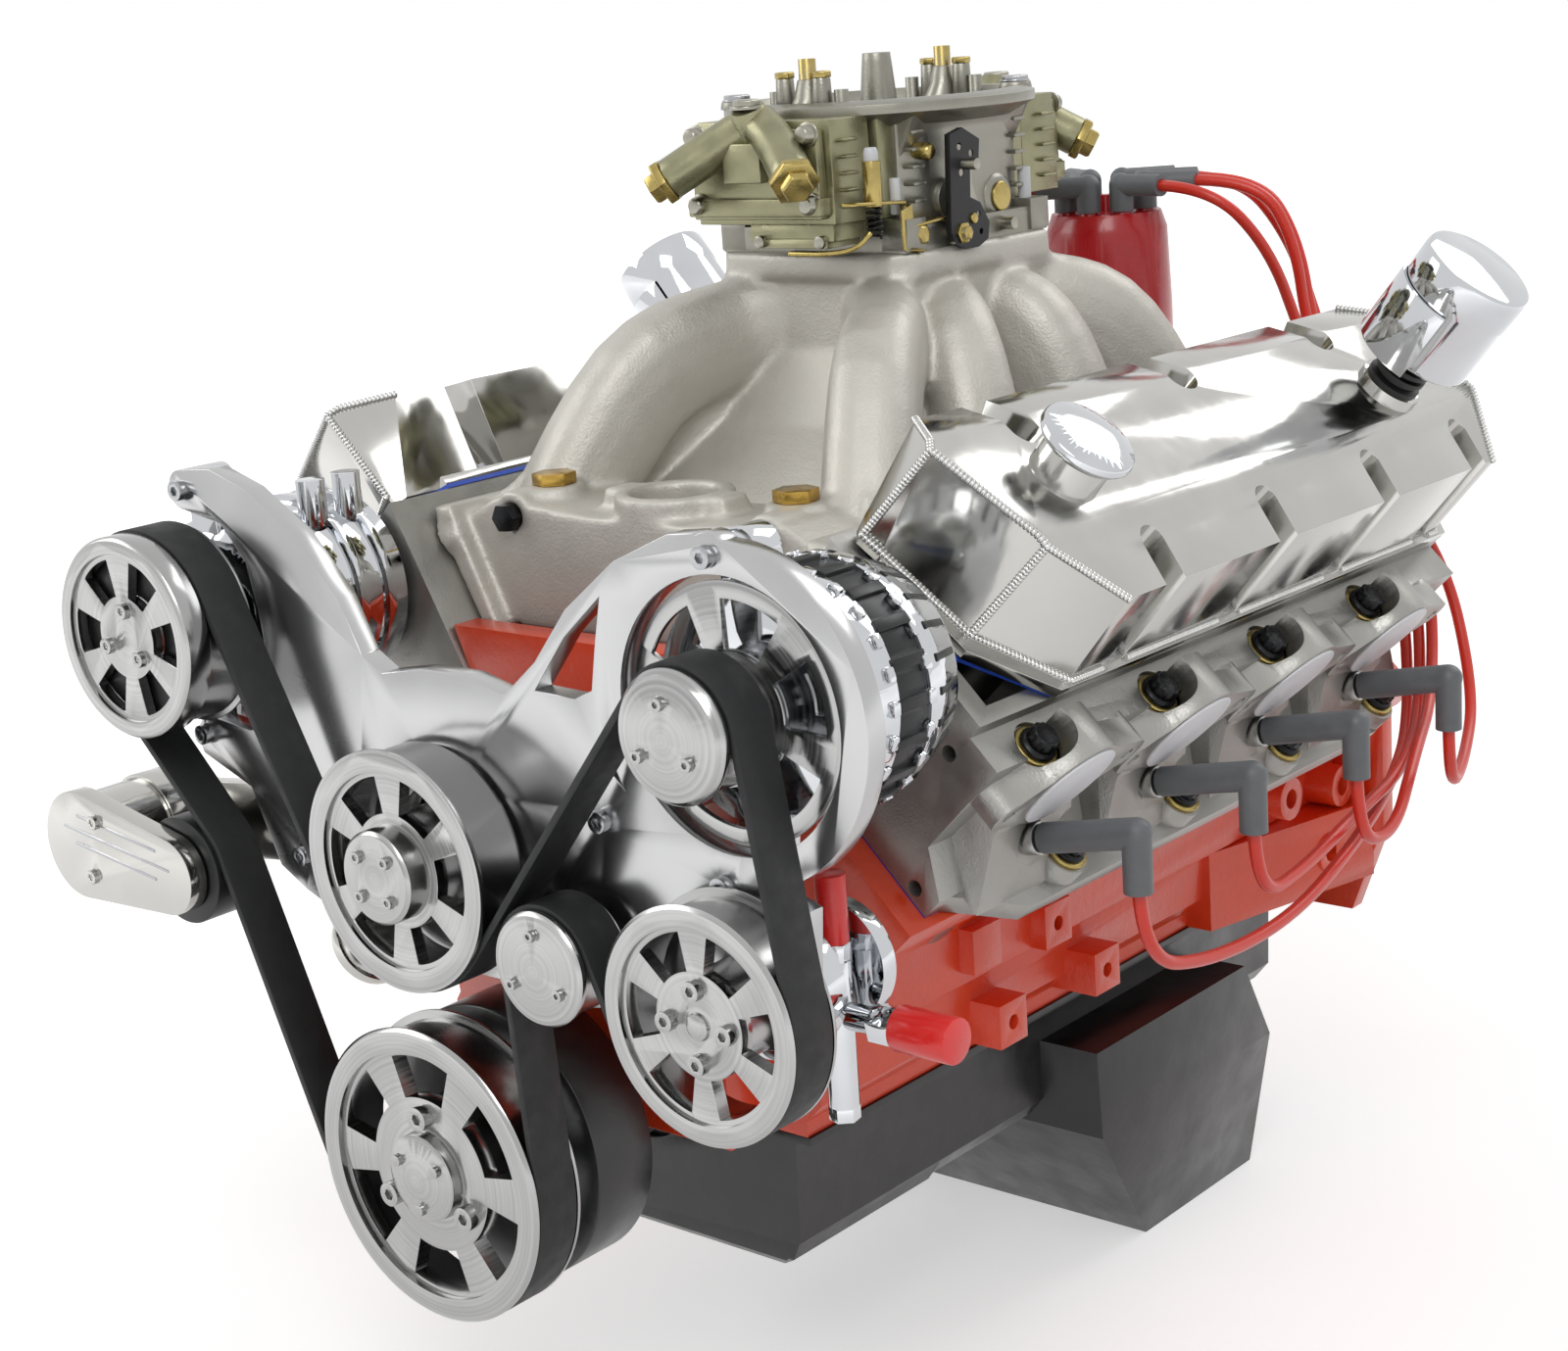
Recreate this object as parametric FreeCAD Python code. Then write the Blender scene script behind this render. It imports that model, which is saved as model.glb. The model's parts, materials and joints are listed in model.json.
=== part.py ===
import FreeCAD, Part
import math
import os

# A dressed V8 engine. Origin: crankshaft axis at the rear face of the block.
# +X is the engine's left side, +Y the rear, +Z up. Millimetres.

os.makedirs("parts", exist_ok=True)
V = FreeCAD.Vector

# Driving dimensions: block and cranktrain
BORE_SPACING = 122.94
BORE_R = 56.0
DECK = 248.9
BANK_ANGLE = 45.0
THROW = 50.8
ROD_LENGTH = 155.8
MAIN_R = 34.9
ROD_JOURNAL_R = 27.9
CAM_Z = 130.9
BLOCK_LENGTH = 590.0
FIRST_BORE_Y = -490.9
BANK_STAGGER = -22.0
RAIL_HALF = 138.0
RAIL_Z = -10.0
DECK_IN = -92.0
DECK_OUT = 66.0
FLANGE_THICK = 14.0
COUNTERWEIGHT_R = 84.0
WEB_THICK = 18.0
ROD_THICK = 20.0
JOURNAL_LENGTH = 46.0
BEARING_GAP = 0.05
SEAT = 0.3

# Driving dimensions: heads and covers, in the bank frame (v across, h above the deck)
HEAD_LENGTH = 530.0
RAIL_H = 114.0
RAIL_IN = -126.0
RAIL_OUT = 10.0
PORT_OFFSET = -16.0
PORT_H = 88.0
PORT_FACE = 52.0
PORT_COVER_R = 31.0
COVER_WALL = 3.0
GASKET = 3.0
HEAD_GASKET = 1.0

# Driving dimensions: front drive, seen from the front (x, z)
BELT_Y = -745.0
BELT_THICK = 4.4
BELT_WIDTH = 28.5
PULLEY_WIDTH = 34.0
RIM_STEP = 4.8
CRANK_RIM_R = 88.0
PUMP_POS = (0.0, 181.8)
PUMP_RIM_R = 69.5
PUMP_FACE_R = 66.0
STEER_POS = (217.9, 134.2)
STEER_RIM_R = 64.5
COMP_POS = (-202.3, 296.4)
COMP_RIM_R = 60.4
ALT_POS = (218.9, 286.9)
ALT_CAP_R = 35.2
FAN_R = 69.0
IDLER_POS = (109.1, 145.5)
IDLER_R = 32.2
TENS_POS = (-193.0, 151.0)
TENS_R = 33.0
TENS_PIVOT = (-276.0, 158.0)
BRACKET_Y = -722.0
BRACKET_THICK = 14.0

# Driving dimensions: induction and ignition
CARB_Y = -293.0
FLANGE_Z = 476.0
CARB_HALF_X = 80.0
CARB_HALF_Y = 83.0
BASE_PLATE = 16.0
CARB_BODY_H = 66.0
BORE_BUTTERFLY = 25.4
BARREL_X = 28.0
BARREL_Y = 29.0
VENTURI_R = 21.4
HORN_R = 100.0
HORN_THICK = 12.0
DIST_X = 11.0
DIST_Y = -52.0
DIST_CAP_Z = 382.0
DIST_CAP_H = 88.0
DIST_CAP_R = 45.0
THERMO_Y = -517.0
CROSSOVER_Z = 352.0
LEAD_R = 4.0

# Driving dimensions: oil pan
PAN_WALL = 2.0
PAN_FRONT_Z = -108.0
PAN_MID_Z = -98.0
SUMP_Z = -215.0
SUMP_HALF = 168.0
SUMP_FLOOR_HALF = 138.0

C45 = math.cos(math.radians(BANK_ANGLE))
S45 = math.sin(math.radians(BANK_ANGLE))
HEAD_CENTRE = FIRST_BORE_Y + 1.5 * BORE_SPACING
HALF_STAGGER = BANK_STAGGER / 2.0
BORE_Y = {1: [FIRST_BORE_Y + i * BORE_SPACING for i in range(4)]}
BORE_Y[-1] = [y + BANK_STAGGER for y in BORE_Y[1]]
THROW_Y = [y + HALF_STAGGER for y in BORE_Y[1]]
MAIN_Y = [THROW_Y[0] + (i - 0.5) * BORE_SPACING for i in range(5)]
BLOCK_FRONT = -BLOCK_LENGTH
SIDES = (1, -1)


def save(name, *shapes):
    solids = []
    for shape in shapes:
        solids.extend(shape.Solids)
    whole = solids[0] if len(solids) == 1 else Part.makeCompound(solids)
    whole.exportStep("parts/%s.step" % name)


def fuse(parts):
    whole = parts[0]
    if len(parts) > 1:
        whole = whole.multiFuse(parts[1:])
    return whole.removeSplitter()


def cut(base, tools):
    return base.cut(Part.makeCompound(tools)) if tools else base


def box(x0, x1, y0, y1, z0, z1):
    return Part.makeBox(x1 - x0, y1 - y0, z1 - z0, V(x0, y0, z0))


def rod(radius, a, b):
    a, b = V(*a), V(*b)
    return Part.makeCylinder(radius, (b - a).Length, a, b - a)


def taper(r1, r2, a, b):
    a, b = V(*a), V(*b)
    return Part.makeCone(r1, r2, (b - a).Length, a, b - a)


def face(points):
    loop = [V(*p) for p in points]
    return Part.Face(Part.makePolygon(loop + [loop[0]]))


def prism_y(outline, y0, y1):
    return face([(x, y0, z) for x, z in outline]).extrude(V(0, y1 - y0, 0))


def prism_z(outline, z0, z1):
    return face([(x, y, z0) for x, y in outline]).extrude(V(0, 0, z1 - z0))


def prism_x(outline, x0, x1):
    return face([(x0, y, z) for y, z in outline]).extrude(V(x1 - x0, 0, 0))


def turned_y(profile, pos=(0.0, 0.0)):
    # profile: (y, r) points of the half section
    section = face([(r, y, 0) for y, r in profile])
    solid = section.revolve(V(0, 0, 0), V(0, 1, 0), 360)
    solid.translate(V(pos[0], 0, pos[1]))
    return solid


def turned_z(profile, x, y):
    section = face([(r, 0, z) for r, z in profile])
    solid = section.revolve(V(0, 0, 0), V(0, 0, 1), 360)
    solid.translate(V(x, y, 0))
    return solid


def loft(*outlines):
    wires = []
    for points in outlines:
        loop = [V(*p) for p in points]
        wires.append(Part.makePolygon(loop + [loop[0]]))
    return Part.makeLoft(wires, True, True)


def skin(*outlines):
    # a closed solid over sections with equal point counts, every face flat
    faces = []
    for k in range(len(outlines) - 1):
        a, b = outlines[k], outlines[k + 1]
        n = len(a)
        for i in range(n):
            j = (i + 1) % n
            faces.append(face([a[i], a[j], b[j]]))
            faces.append(face([a[i], b[j], b[i]]))
    low, high = outlines[0], outlines[-1]
    for i in range(1, len(low) - 1):
        faces.append(face([low[0], low[i + 1], low[i]]))
        faces.append(face([high[0], high[i], high[i + 1]]))
    solid = Part.Solid(Part.makeShell(faces))
    if solid.Volume < 0:
        solid.reverse()
    return solid


def stadium_y(a, b, r, y0, y1):
    # a link outline in the xz plane: two round ends and a straight between
    ends = [rod(r, (p[0], y0, p[1]), (p[0], y1, p[1])) for p in (a, b)]
    dx, dz = b[0] - a[0], b[1] - a[1]
    length = math.hypot(dx, dz)
    nx, nz = -dz / length * r, dx / length * r
    bar = prism_y([(a[0] + nx, a[1] + nz), (b[0] + nx, b[1] + nz),
                   (b[0] - nx, b[1] - nz), (a[0] - nx, a[1] - nz)], y0, y1)
    return fuse(ends + [bar])


def sector_y(centre, r0, r1, a0, a1, y0, y1):
    # part of a ring in the xz plane, angles in degrees from +x
    ring = cut(rod(r1, (centre[0], y0, centre[1]), (centre[0], y1, centre[1])),
               [rod(r0, (centre[0], y0, centre[1]), (centre[0], y1, centre[1]))])
    steps = max(2, int(abs(a1 - a0) / 40) + 1)
    fan = [(centre[0], centre[1])]
    for i in range(steps + 1):
        a = math.radians(a0 + (a1 - a0) * i / steps)
        fan.append((centre[0] + 2 * r1 * math.cos(a), centre[1] + 2 * r1 * math.sin(a)))
    return ring.common(prism_y(fan, y0, y1))


def polar(r, degrees):
    return r * math.cos(math.radians(degrees)), r * math.sin(math.radians(degrees))


def bank_point(side, v, h, y):
    u = DECK + h
    return (side * (u * S45 + v * C45), y, u * C45 - v * S45)


def to_bank(shape, side):
    # local x is v, local z is h, local y runs along the crank with 0 at the head centre
    placed = shape.copy()
    placed.rotate(V(0, 0, 0), V(0, 1, 0), BANK_ANGLE)
    placed.translate(V(DECK * S45, 0, DECK * C45))
    if side < 0:
        placed.rotate(V(0, 0, 0), V(0, 0, 1), 180)
    centre = HEAD_CENTRE + (BANK_STAGGER if side < 0 else 0.0)
    placed.translate(V(0, centre, 0))
    return placed


def hex_head(centre, direction, across, height):
    axis = V(*direction).normalize()
    side = axis.cross(V(0.3, 0.9, 0.2)).normalize()
    other = axis.cross(side)
    radius = across / math.sqrt(3.0)
    points = []
    for k in range(6):
        c, s = math.cos(k * math.pi / 3), math.sin(k * math.pi / 3)
        p = V(*centre) + side * (radius * c) + other * (radius * s)
        points.append((p.x, p.y, p.z))
    return face(points).extrude(axis * height)


def flange_bolt(seat, direction, size, shank):
    # a hex flange bolt: washer, head and shank, seated at a point
    axis = V(*direction).normalize()
    base = V(*seat)
    washer = Part.makeCylinder(size * 1.15, size * 0.3, base, axis)
    top = base + axis * (size * 0.3)
    head = hex_head((top.x, top.y, top.z), direction, size * 1.6, size * 0.8)
    stem = Part.makeCylinder(size * 0.5, shank, base - axis * shank, axis)
    return fuse([washer, head, stem])


def socket_screw(seat, direction, size, shank):
    axis = V(*direction).normalize()
    base = V(*seat)
    head = Part.makeCylinder(size * 0.75, size * 0.7, base, axis)
    socket = hex_head(tuple(base + axis * (size * 0.35)), direction, size * 0.65, size)
    stem = Part.makeCylinder(size * 0.5, shank, base - axis * shank, axis)
    return fuse([head, stem]).cut(socket)


# Block and lower end
def mirrored(points):
    return points + [(-x, z) for x, z in reversed(points)]


def side_boss(side, y, z, radius, reach, hole):
    a, b = (side * (RAIL_HALF - 30), y, z), (side * reach, y, z)
    return rod(radius, a, b), rod(hole, (side * (reach - 25), y, z), (side * (reach + 1), y, z))


MOUNT_Y, MOUNT_Z, MOUNT_FACE = -380.0, 33.0, 174.0
MOUNT_HOLES = [(-52.0, -18.0), (52.0, -18.0), (0.0, 30.0)]
PLAIN_PADS = [(-75.0, 38.0)]
PAD_HALF = 14.0
WALL_X = 164.0
BELL_HOLES = [(184.0, 48.0), (157.0, 136.0), (70.0, 208.0)]
REAR_BOSSES = [(-40.0, 62.0), (-58.0, 18.0), (-112.0, 72.0)]
LEG_X, LEG_Z = 99.0, 168.0


def engine_block():
    deck_in, deck_out = bank_point(1, DECK_IN, 0, 0), bank_point(1, DECK_OUT, 0, 0)
    lip = bank_point(1, DECK_OUT, -20, 0)
    outline = mirrored([(64, 178), (70, 196), (deck_in[0], deck_in[2]), (deck_out[0], deck_out[2]),
                        (lip[0], lip[2]), (WALL_X + 12, 98), (WALL_X, 86), (WALL_X - 2, 48),
                        (WALL_X - 11, 42), (WALL_X - 14, 12), (RAIL_HALF + 4, 4), (RAIL_HALF, 0),
                        (RAIL_HALF, RAIL_Z)])
    body = prism_y(outline, BLOCK_FRONT, 0)
    wall_top = bank_point(1, DECK_IN - 13, 30, 0)
    wall = mirrored([(deck_in[0], deck_in[2] - 40), (deck_in[0], deck_in[2]), (wall_top[0], wall_top[2])])
    walls = [prism_y(wall, BLOCK_FRONT, BLOCK_FRONT + 20), prism_y(wall, -20, 0)]
    bell = mirrored([(62, 246), (112, 216), (170, 172), (204, 112), (204, 28), (178, -40), (134, -40)])
    flange = prism_y(bell, -FLANGE_THICK, 0)
    extras, holes = [], []
    for side in SIDES:
        for dy, dz in MOUNT_HOLES + PLAIN_PADS:
            y, z = MOUNT_Y + dy, MOUNT_Z + dz
            extras.append(box(min(side * 120, side * MOUNT_FACE), max(side * 120, side * MOUNT_FACE),
                              y - PAD_HALF, y + PAD_HALF, z - PAD_HALF, z + PAD_HALF))
        for dy, dz in MOUNT_HOLES:
            holes.append(rod(4.8, (side * (MOUNT_FACE - 22), MOUNT_Y + dy, MOUNT_Z + dz),
                             (side * (MOUNT_FACE + 1), MOUNT_Y + dy, MOUNT_Z + dz)))
        for y, z in REAR_BOSSES:
            boss, hole = side_boss(side, y, z, 15, 186, 7)
            extras.append(boss)
            holes.append(hole)
        extras.append(prism_z([(side * 130, -176), (side * (WALL_X - 6), -176), (side * 196, -FLANGE_THICK),
                               (side * 130, -FLANGE_THICK)], RAIL_Z, 46))
        for x, z in BELL_HOLES:
            holes.append(rod(5.2, (side * x, -FLANGE_THICK - 1, z), (side * x, 1, z)))
        for y in BORE_Y[side]:
            foot, top = bank_point(side, 0, 72 - DECK, y), bank_point(side, 0, 2, y)
            holes.append(rod(BORE_R, foot, top))
        holes.append(rod(5, (side * LEG_X, BLOCK_FRONT - 1, LEG_Z + 26),
                         (side * LEG_X, BLOCK_FRONT + 25, LEG_Z + 26)))
        holes.append(rod(5, (side * LEG_X, BLOCK_FRONT - 1, LEG_Z - 26),
                         (side * LEG_X, BLOCK_FRONT + 25, LEG_Z - 26)))
    sweep = COUNTERWEIGHT_R + 6
    for y in THROW_Y:
        half = JOURNAL_LENGTH / 2 + WEB_THICK + 4
        holes.append(rod(sweep, (0, y - half, 0), (0, y + half, 0)))
        holes.append(box(-sweep - 14, sweep + 14, y - half, y + half, RAIL_Z - 40, 34))
    for y in MAIN_Y:
        holes.append(box(-CAP_HALF - SEAT, CAP_HALF + SEAT, y - 30, y + 30, RAIL_Z - 40, 0))
    holes.append(rod(MAIN_R + BEARING_GAP, (0, BLOCK_FRONT - 1, 0), (0, 1, 0)))
    holes.append(rod(SEAL_R + SEAT, (0, MAIN_Y[4] + 32, 0), (0, 1, 0)))
    holes.append(box(-SEAL_R, SEAL_R, MAIN_Y[4] + 32, 1, RAIL_Z - 40, 0))
    holes.append(rod(CAM_BORE_R, (0, BLOCK_FRONT - 1, CAM_Z), (0, -FLANGE_THICK - 6, CAM_Z)))
    holes.append(box(-58, 58, BLOCK_FRONT + 22, -22, 184, 320))
    holes.append(rod(DIST_SHANK_R + SEAT, (DIST_X, DIST_Y, CAM_Z), (DIST_X, DIST_Y, 200)))
    body = cut(fuse([body, flange] + walls + extras), holes)
    save("engine_block", body)


CAP_HALF = 70.0
CAP_DEPTH = 58.0
SEAL_R = 50.0
CAM_BORE_R = 25.0
DIST_SHANK_R = 15.0


def main_bearing_caps():
    caps = []
    for y in MAIN_Y:
        cap = prism_y(mirrored([(CAP_HALF, 0), (CAP_HALF, -22), (46, -CAP_DEPTH)]), y - 15, y + 15)
        cap = cap.cut(rod(MAIN_R + BEARING_GAP, (0, y - 16, 0), (0, y + 16, 0)))
        bolts = [hex_head((x, y, -z), (0, 0, -1), 17, 9)
                 for x, z in ((-42, CAP_DEPTH), (42, CAP_DEPTH))]
        caps.append(fuse([cap] + bolts))
    save("main_bearing_caps", *caps)


THROW_ANGLES = [90.0, 0.0, 180.0, 270.0]


def journal(i):
    return polar(THROW, THROW_ANGLES[i])


def crankshaft():
    half = JOURNAL_LENGTH / 2
    parts = []
    for i, y in enumerate(THROW_Y):
        jx, jz = journal(i)
        parts.append(rod(ROD_JOURNAL_R, (jx, y - half - 1, jz), (jx, y + half + 1, jz)))
        for a, b in ((y - half - WEB_THICK, y - half), (y + half, y + half + WEB_THICK)):
            cheek = stadium_y((0, 0), (jx, jz), 37, a, b)
            weight = sector_y((0, 0), 30, COUNTERWEIGHT_R, THROW_ANGLES[i] + 118,
                              THROW_ANGLES[i] + 242, a, b)
            parts.extend([cheek, weight])
    edges = [THROW_Y[0] - half - WEB_THICK]
    for i in range(3):
        parts.append(rod(MAIN_R, (0, THROW_Y[i] + half + WEB_THICK - 1, 0),
                         (0, THROW_Y[i + 1] - half - WEB_THICK + 1, 0)))
    parts.append(rod(MAIN_R, (0, BLOCK_FRONT + 6, 0), (0, edges[0] + 1, 0)))
    parts.append(rod(MAIN_R, (0, THROW_Y[3] + half + WEB_THICK - 1, 0), (0, MAIN_Y[4] + 30, 0)))
    parts.append(rod(SEAL_R, (0, MAIN_Y[4] + 33, 0), (0, 6, 0)))
    parts.append(rod(MAIN_R, (0, MAIN_Y[4] + 29, 0), (0, MAIN_Y[4] + 34, 0)))
    parts.append(rod(SNOUT_R, (0, SNOUT_END, 0), (0, BLOCK_FRONT + 8, 0)))
    holes = [rod(PILOT_R, (0, -14, 0), (0, 7, 0))]
    for k in range(6):
        x, z = polar(FLYWHEEL_PCD / 2, 60 * k + 30)
        holes.append(rod(5.0, (x, -12, z), (x, 7, z)))
    save("crankshaft", cut(fuse(parts), holes), sprocket(18, CHAIN_R / 2, SNOUT_R, (0, 0)))


FLYWHEEL_PCD = 80.0
PILOT_R = 21.6
SNOUT_R = 20.3
SNOUT_END = -702.0
CHAIN_R = 54.6
CHAIN_Y = -606.0
CHAIN_WIDTH = 12.0


def sprocket(teeth, pitch_r, bore, pos):
    outline = []
    for k in range(teeth * 2):
        a = 360.0 * k / (teeth * 2)
        r = pitch_r + (2.4 if k % 2 == 0 else -3.2)
        for da in (-40.0 / teeth, 40.0 / teeth):
            x, z = polar(r, a + da)
            outline.append((pos[0] + x, pos[1] + z))
    wheel = prism_y(outline, CHAIN_Y - CHAIN_WIDTH / 2, CHAIN_Y + CHAIN_WIDTH / 2)
    wheel = fuse([wheel, rod(bore + 8, (pos[0], CHAIN_Y - 8, pos[1]), (pos[0], CHAIN_Y + 14, pos[1]))])
    return wheel.cut(rod(bore, (pos[0], CHAIN_Y - 20, pos[1]), (pos[0], CHAIN_Y + 20, pos[1])))


def timing_chain():
    gap = 2.8
    big, small = CHAIN_R + gap, CHAIN_R / 2 + gap
    bands = []
    for extra in (0.0, 6.0):
        circles = [((0, CAM_Z), big + extra, -1), ((0, 0), small + extra, -1)]
        bands.append(loop_solid(circles, CHAIN_Y - CHAIN_WIDTH / 2, CHAIN_Y + CHAIN_WIDTH / 2))
    save("timing_chain", bands[1].cut(bands[0]))


def tangent(c1, r1, s1, c2, r2, s2):
    # the straight between two circles of a loop; s = +1 passes a circle anticlockwise
    dx, dz = c2[0] - c1[0], c2[1] - c1[1]
    phi = math.atan2(dz, dx) + math.acos((s2 * r2 - s1 * r1) / math.hypot(dx, dz))
    nx, nz = math.cos(phi), math.sin(phi)
    return ((c1[0] - s1 * r1 * nx, c1[1] - s1 * r1 * nz), (c2[0] - s2 * r2 * nx, c2[1] - s2 * r2 * nz))


def loop_solid(circles, y0, y1):
    n = len(circles)
    spans = [tangent(*circles[i], *circles[(i + 1) % n]) for i in range(n)]
    edges = []
    for i, (centre, r, sign) in enumerate(circles):
        a, b = spans[i - 1][1], spans[i][0]
        ta = math.atan2(a[1] - centre[1], a[0] - centre[0])
        tb = math.atan2(b[1] - centre[1], b[0] - centre[0])
        sweep = (tb - ta) * sign % (2 * math.pi) * sign
        tm = ta + sweep / 2
        mid = (centre[0] + r * math.cos(tm), centre[1] + r * math.sin(tm))
        edges.append(Part.Arc(V(a[0], y0, a[1]), V(mid[0], y0, mid[1]), V(b[0], y0, b[1])).toShape())
        c = spans[i][1]
        edges.append(Part.LineSegment(V(b[0], y0, b[1]), V(c[0], y0, c[1])).toShape())
    return Part.Face(Part.Wire(edges)).extrude(V(0, y1 - y0, 0))


def camshaft():
    parts = [rod(13, (0, CHAIN_Y + 7, CAM_Z), (0, -30, CAM_Z))]
    for y in MAIN_Y:
        parts.append(rod(CAM_BORE_R - BEARING_GAP, (0, y - 12, CAM_Z), (0, y + 12, CAM_Z)))
    for i in range(16):
        y = MAIN_Y[i // 4] + 24 + 25 * (i % 4)
        dx, dz = polar(6.5, 90.0 * i + 35.0 * (i % 3))
        parts.append(rod(15, (dx, y - 7, CAM_Z + dz), (dx, y + 7, CAM_Z + dz)))
    save("camshaft", fuse(parts), sprocket(36, CHAIN_R, 13, (0, CAM_Z)))


PIN_R = 12.57
PIN_LENGTH = 88.0
CROWN = DECK - ROD_LENGTH - THROW - 1.0
SKIRT = 24.0
PISTON_GAP = 0.06


def pin_distance(side, i):
    jx, jz = journal(i)
    along = side * jx * S45 + jz * C45
    across = THROW * THROW - along * along
    return along + math.sqrt(ROD_LENGTH ** 2 - across)


def pistons_and_rods():
    pistons, rods = [], []
    for side in SIDES:
        axis = V(side * S45, 0, C45)
        for i, y in enumerate(BORE_Y[side]):
            d = pin_distance(side, i)
            pin = axis * d + V(0, y, 0)
            low, high = pin - axis * SKIRT, pin + axis * CROWN
            body = Part.makeCylinder(BORE_R - PISTON_GAP, SKIRT + CROWN, low, axis)
            hollow = Part.makeCylinder(BORE_R - 7, SKIRT + CROWN - 10, low - axis, axis)
            bosses = Part.makeCylinder(19, 2 * BORE_R, pin - V(0, BORE_R, 0), V(0, 1, 0))
            gap = Part.makeCylinder(BORE_R + 1, 100, pin - axis * 50, axis)
            slot = Part.makeCylinder(28, ROD_THICK + 4, pin - V(0, ROD_THICK / 2 + 2, 0), V(0, 1, 0))
            body = fuse([body.cut(hollow), bosses.common(gap)]).cut(slot)
            for k in range(3):
                ring = Part.makeCylinder(BORE_R + 1, 2.2, high - axis * (8 + 7 * k), axis)
                core = Part.makeCylinder(BORE_R - 3, 2.4, high - axis * (8.1 + 7 * k), axis)
                if k < RING_GROOVES:
                    body = body.cut(ring.cut(core))
            hole = Part.makeCylinder(PIN_R, 2 * BORE_R, pin - V(0, BORE_R, 0), V(0, 1, 0))
            crown_only = Part.makeCylinder(BORE_R, 2 * BORE_R, high - axis * 2 * BORE_R, axis)
            pistons.append(body.cut(hole).common(crown_only))
            pistons.append(Part.makeCylinder(PIN_R, PIN_LENGTH, pin - V(0, PIN_LENGTH / 2, 0), V(0, 1, 0)))
            rods.append(connecting_rod(i, y, pin))
    save("pistons", *pistons)
    save("connecting_rods", *rods)


RING_GROOVES = 1


def connecting_rod(i, y, pin):
    jx, jz = journal(i)
    y0, y1 = y - ROD_THICK / 2, y + ROD_THICK / 2
    big, small = (jx, y0, jz), (pin.x, y0, pin.z)
    ends = [rod(35, big, (jx, y1, jz)), rod(18.5, small, (pin.x, y1, pin.z))]
    beam = stadium_y((jx, jz), (pin.x, pin.z), 12, y0 + 2, y1 - 2)
    body = fuse(ends + [beam])
    web = stadium_y((jx * 0.62 + pin.x * 0.38, jz * 0.62 + pin.z * 0.38),
                    (jx * 0.3 + pin.x * 0.7, jz * 0.3 + pin.z * 0.7), 6, y0 - 1, y0 + 6)
    return cut(body, [web, web.translated(V(0, ROD_THICK - 5, 0)),
                      rod(ROD_JOURNAL_R + BEARING_GAP, (jx, y0 - 1, jz), (jx, y1 + 1, jz)),
                      rod(PIN_R, (pin.x, y0 - 1, pin.z), (pin.x, y1 + 1, pin.z))])


def oil_pan():
    top = RAIL_Z - SEAT

    def ring(half, y0, y1, z):
        return [(-half, y0, z), (half, y0, z), (half, y1, z), (-half, y1, z)]

    def hull(w):
        front = BLOCK_FRONT + 5 + w
        rear = -FLANGE_THICK - 26 - w
        upper = loft(ring(RAIL_HALF - 14 - w, front, rear, top + (1 if w else 0)),
                     ring(RAIL_HALF - 16 - w, front, rear, PAN_MID_Z + 14 + w))
        belly = loft(ring(RAIL_HALF - 16 - w, front, rear, PAN_MID_Z + 14.1 + w),
                     ring(RAIL_HALF - 28 - w, front, rear, PAN_MID_Z + w))
        nose = loft(ring(RAIL_HALF - 16 - w, front, -440 - w, PAN_FRONT_Z + 26),
                    ring(RAIL_HALF - 22 - w, front, -452 - w, PAN_FRONT_Z + 12 + w),
                    ring(RAIL_HALF - 40 - w, front + 12, -466 - w, PAN_FRONT_Z + w))
        kick = loft(ring(SUMP_HALF - w, -335 + w, -150 - w, -42 - w),
                    ring(SUMP_HALF - w, -332 + w, -118 - w, -103),
                    ring(SUMP_FLOOR_HALF - w, -240 + w, -100 - w, SUMP_Z + w))
        return fuse([upper, belly, nose, kick])

    shell = hull(0).cut(hull(PAN_WALL))
    flange = cut(box(-RAIL_HALF - 2, RAIL_HALF + 2, BLOCK_FRONT, -FLANGE_THICK - SEAT, top - 5, top),
                 [box(-RAIL_HALF + 17, RAIL_HALF - 17, BLOCK_FRONT + 8, -FLANGE_THICK - 30, top - 6, top + 1)])
    plug = hex_head((SUMP_FLOOR_HALF * 0.4, -99, SUMP_Z + 30), (0, 1, 0), 19, 9)
    arches = [rod(MAIN_R + 8, (0, BLOCK_FRONT - 1, 0), (0, BLOCK_FRONT + 20, 0)),
              rod(SEAL_R + 4, (0, -FLANGE_THICK - 40, 0), (0, 0, 0))]
    pan = cut(fuse([shell, flange, plug]), arches)
    save("oil_pan", pan)


def oil_pump():
    y0, y1 = MAIN_Y[4] - 15, MAIN_Y[4] + 15
    x, z = 50, -CAP_DEPTH - 25.5
    foot = -CAP_DEPTH - 9
    body = fuse([rod(9.6, (x, y0, z), (x, y1 + 8, z)), box(x - 8, x + 14, y0 + 6, y1 - 6, z, foot),
                 rod(9, (x, y0 - 64, z), (x, y0 + 1, z)), rod(8.6, (x, y0 - 64, z), (x, y0 - 64, SUMP_Z + 28)),
                 Part.makeSphere(9.4, V(x, y0 - 64, z)),
                 taper(30, 36, (x, y0 - 64, SUMP_Z + 29), (x, y0 - 64, SUMP_Z + 18))])
    save("oil_pump", body)


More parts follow.
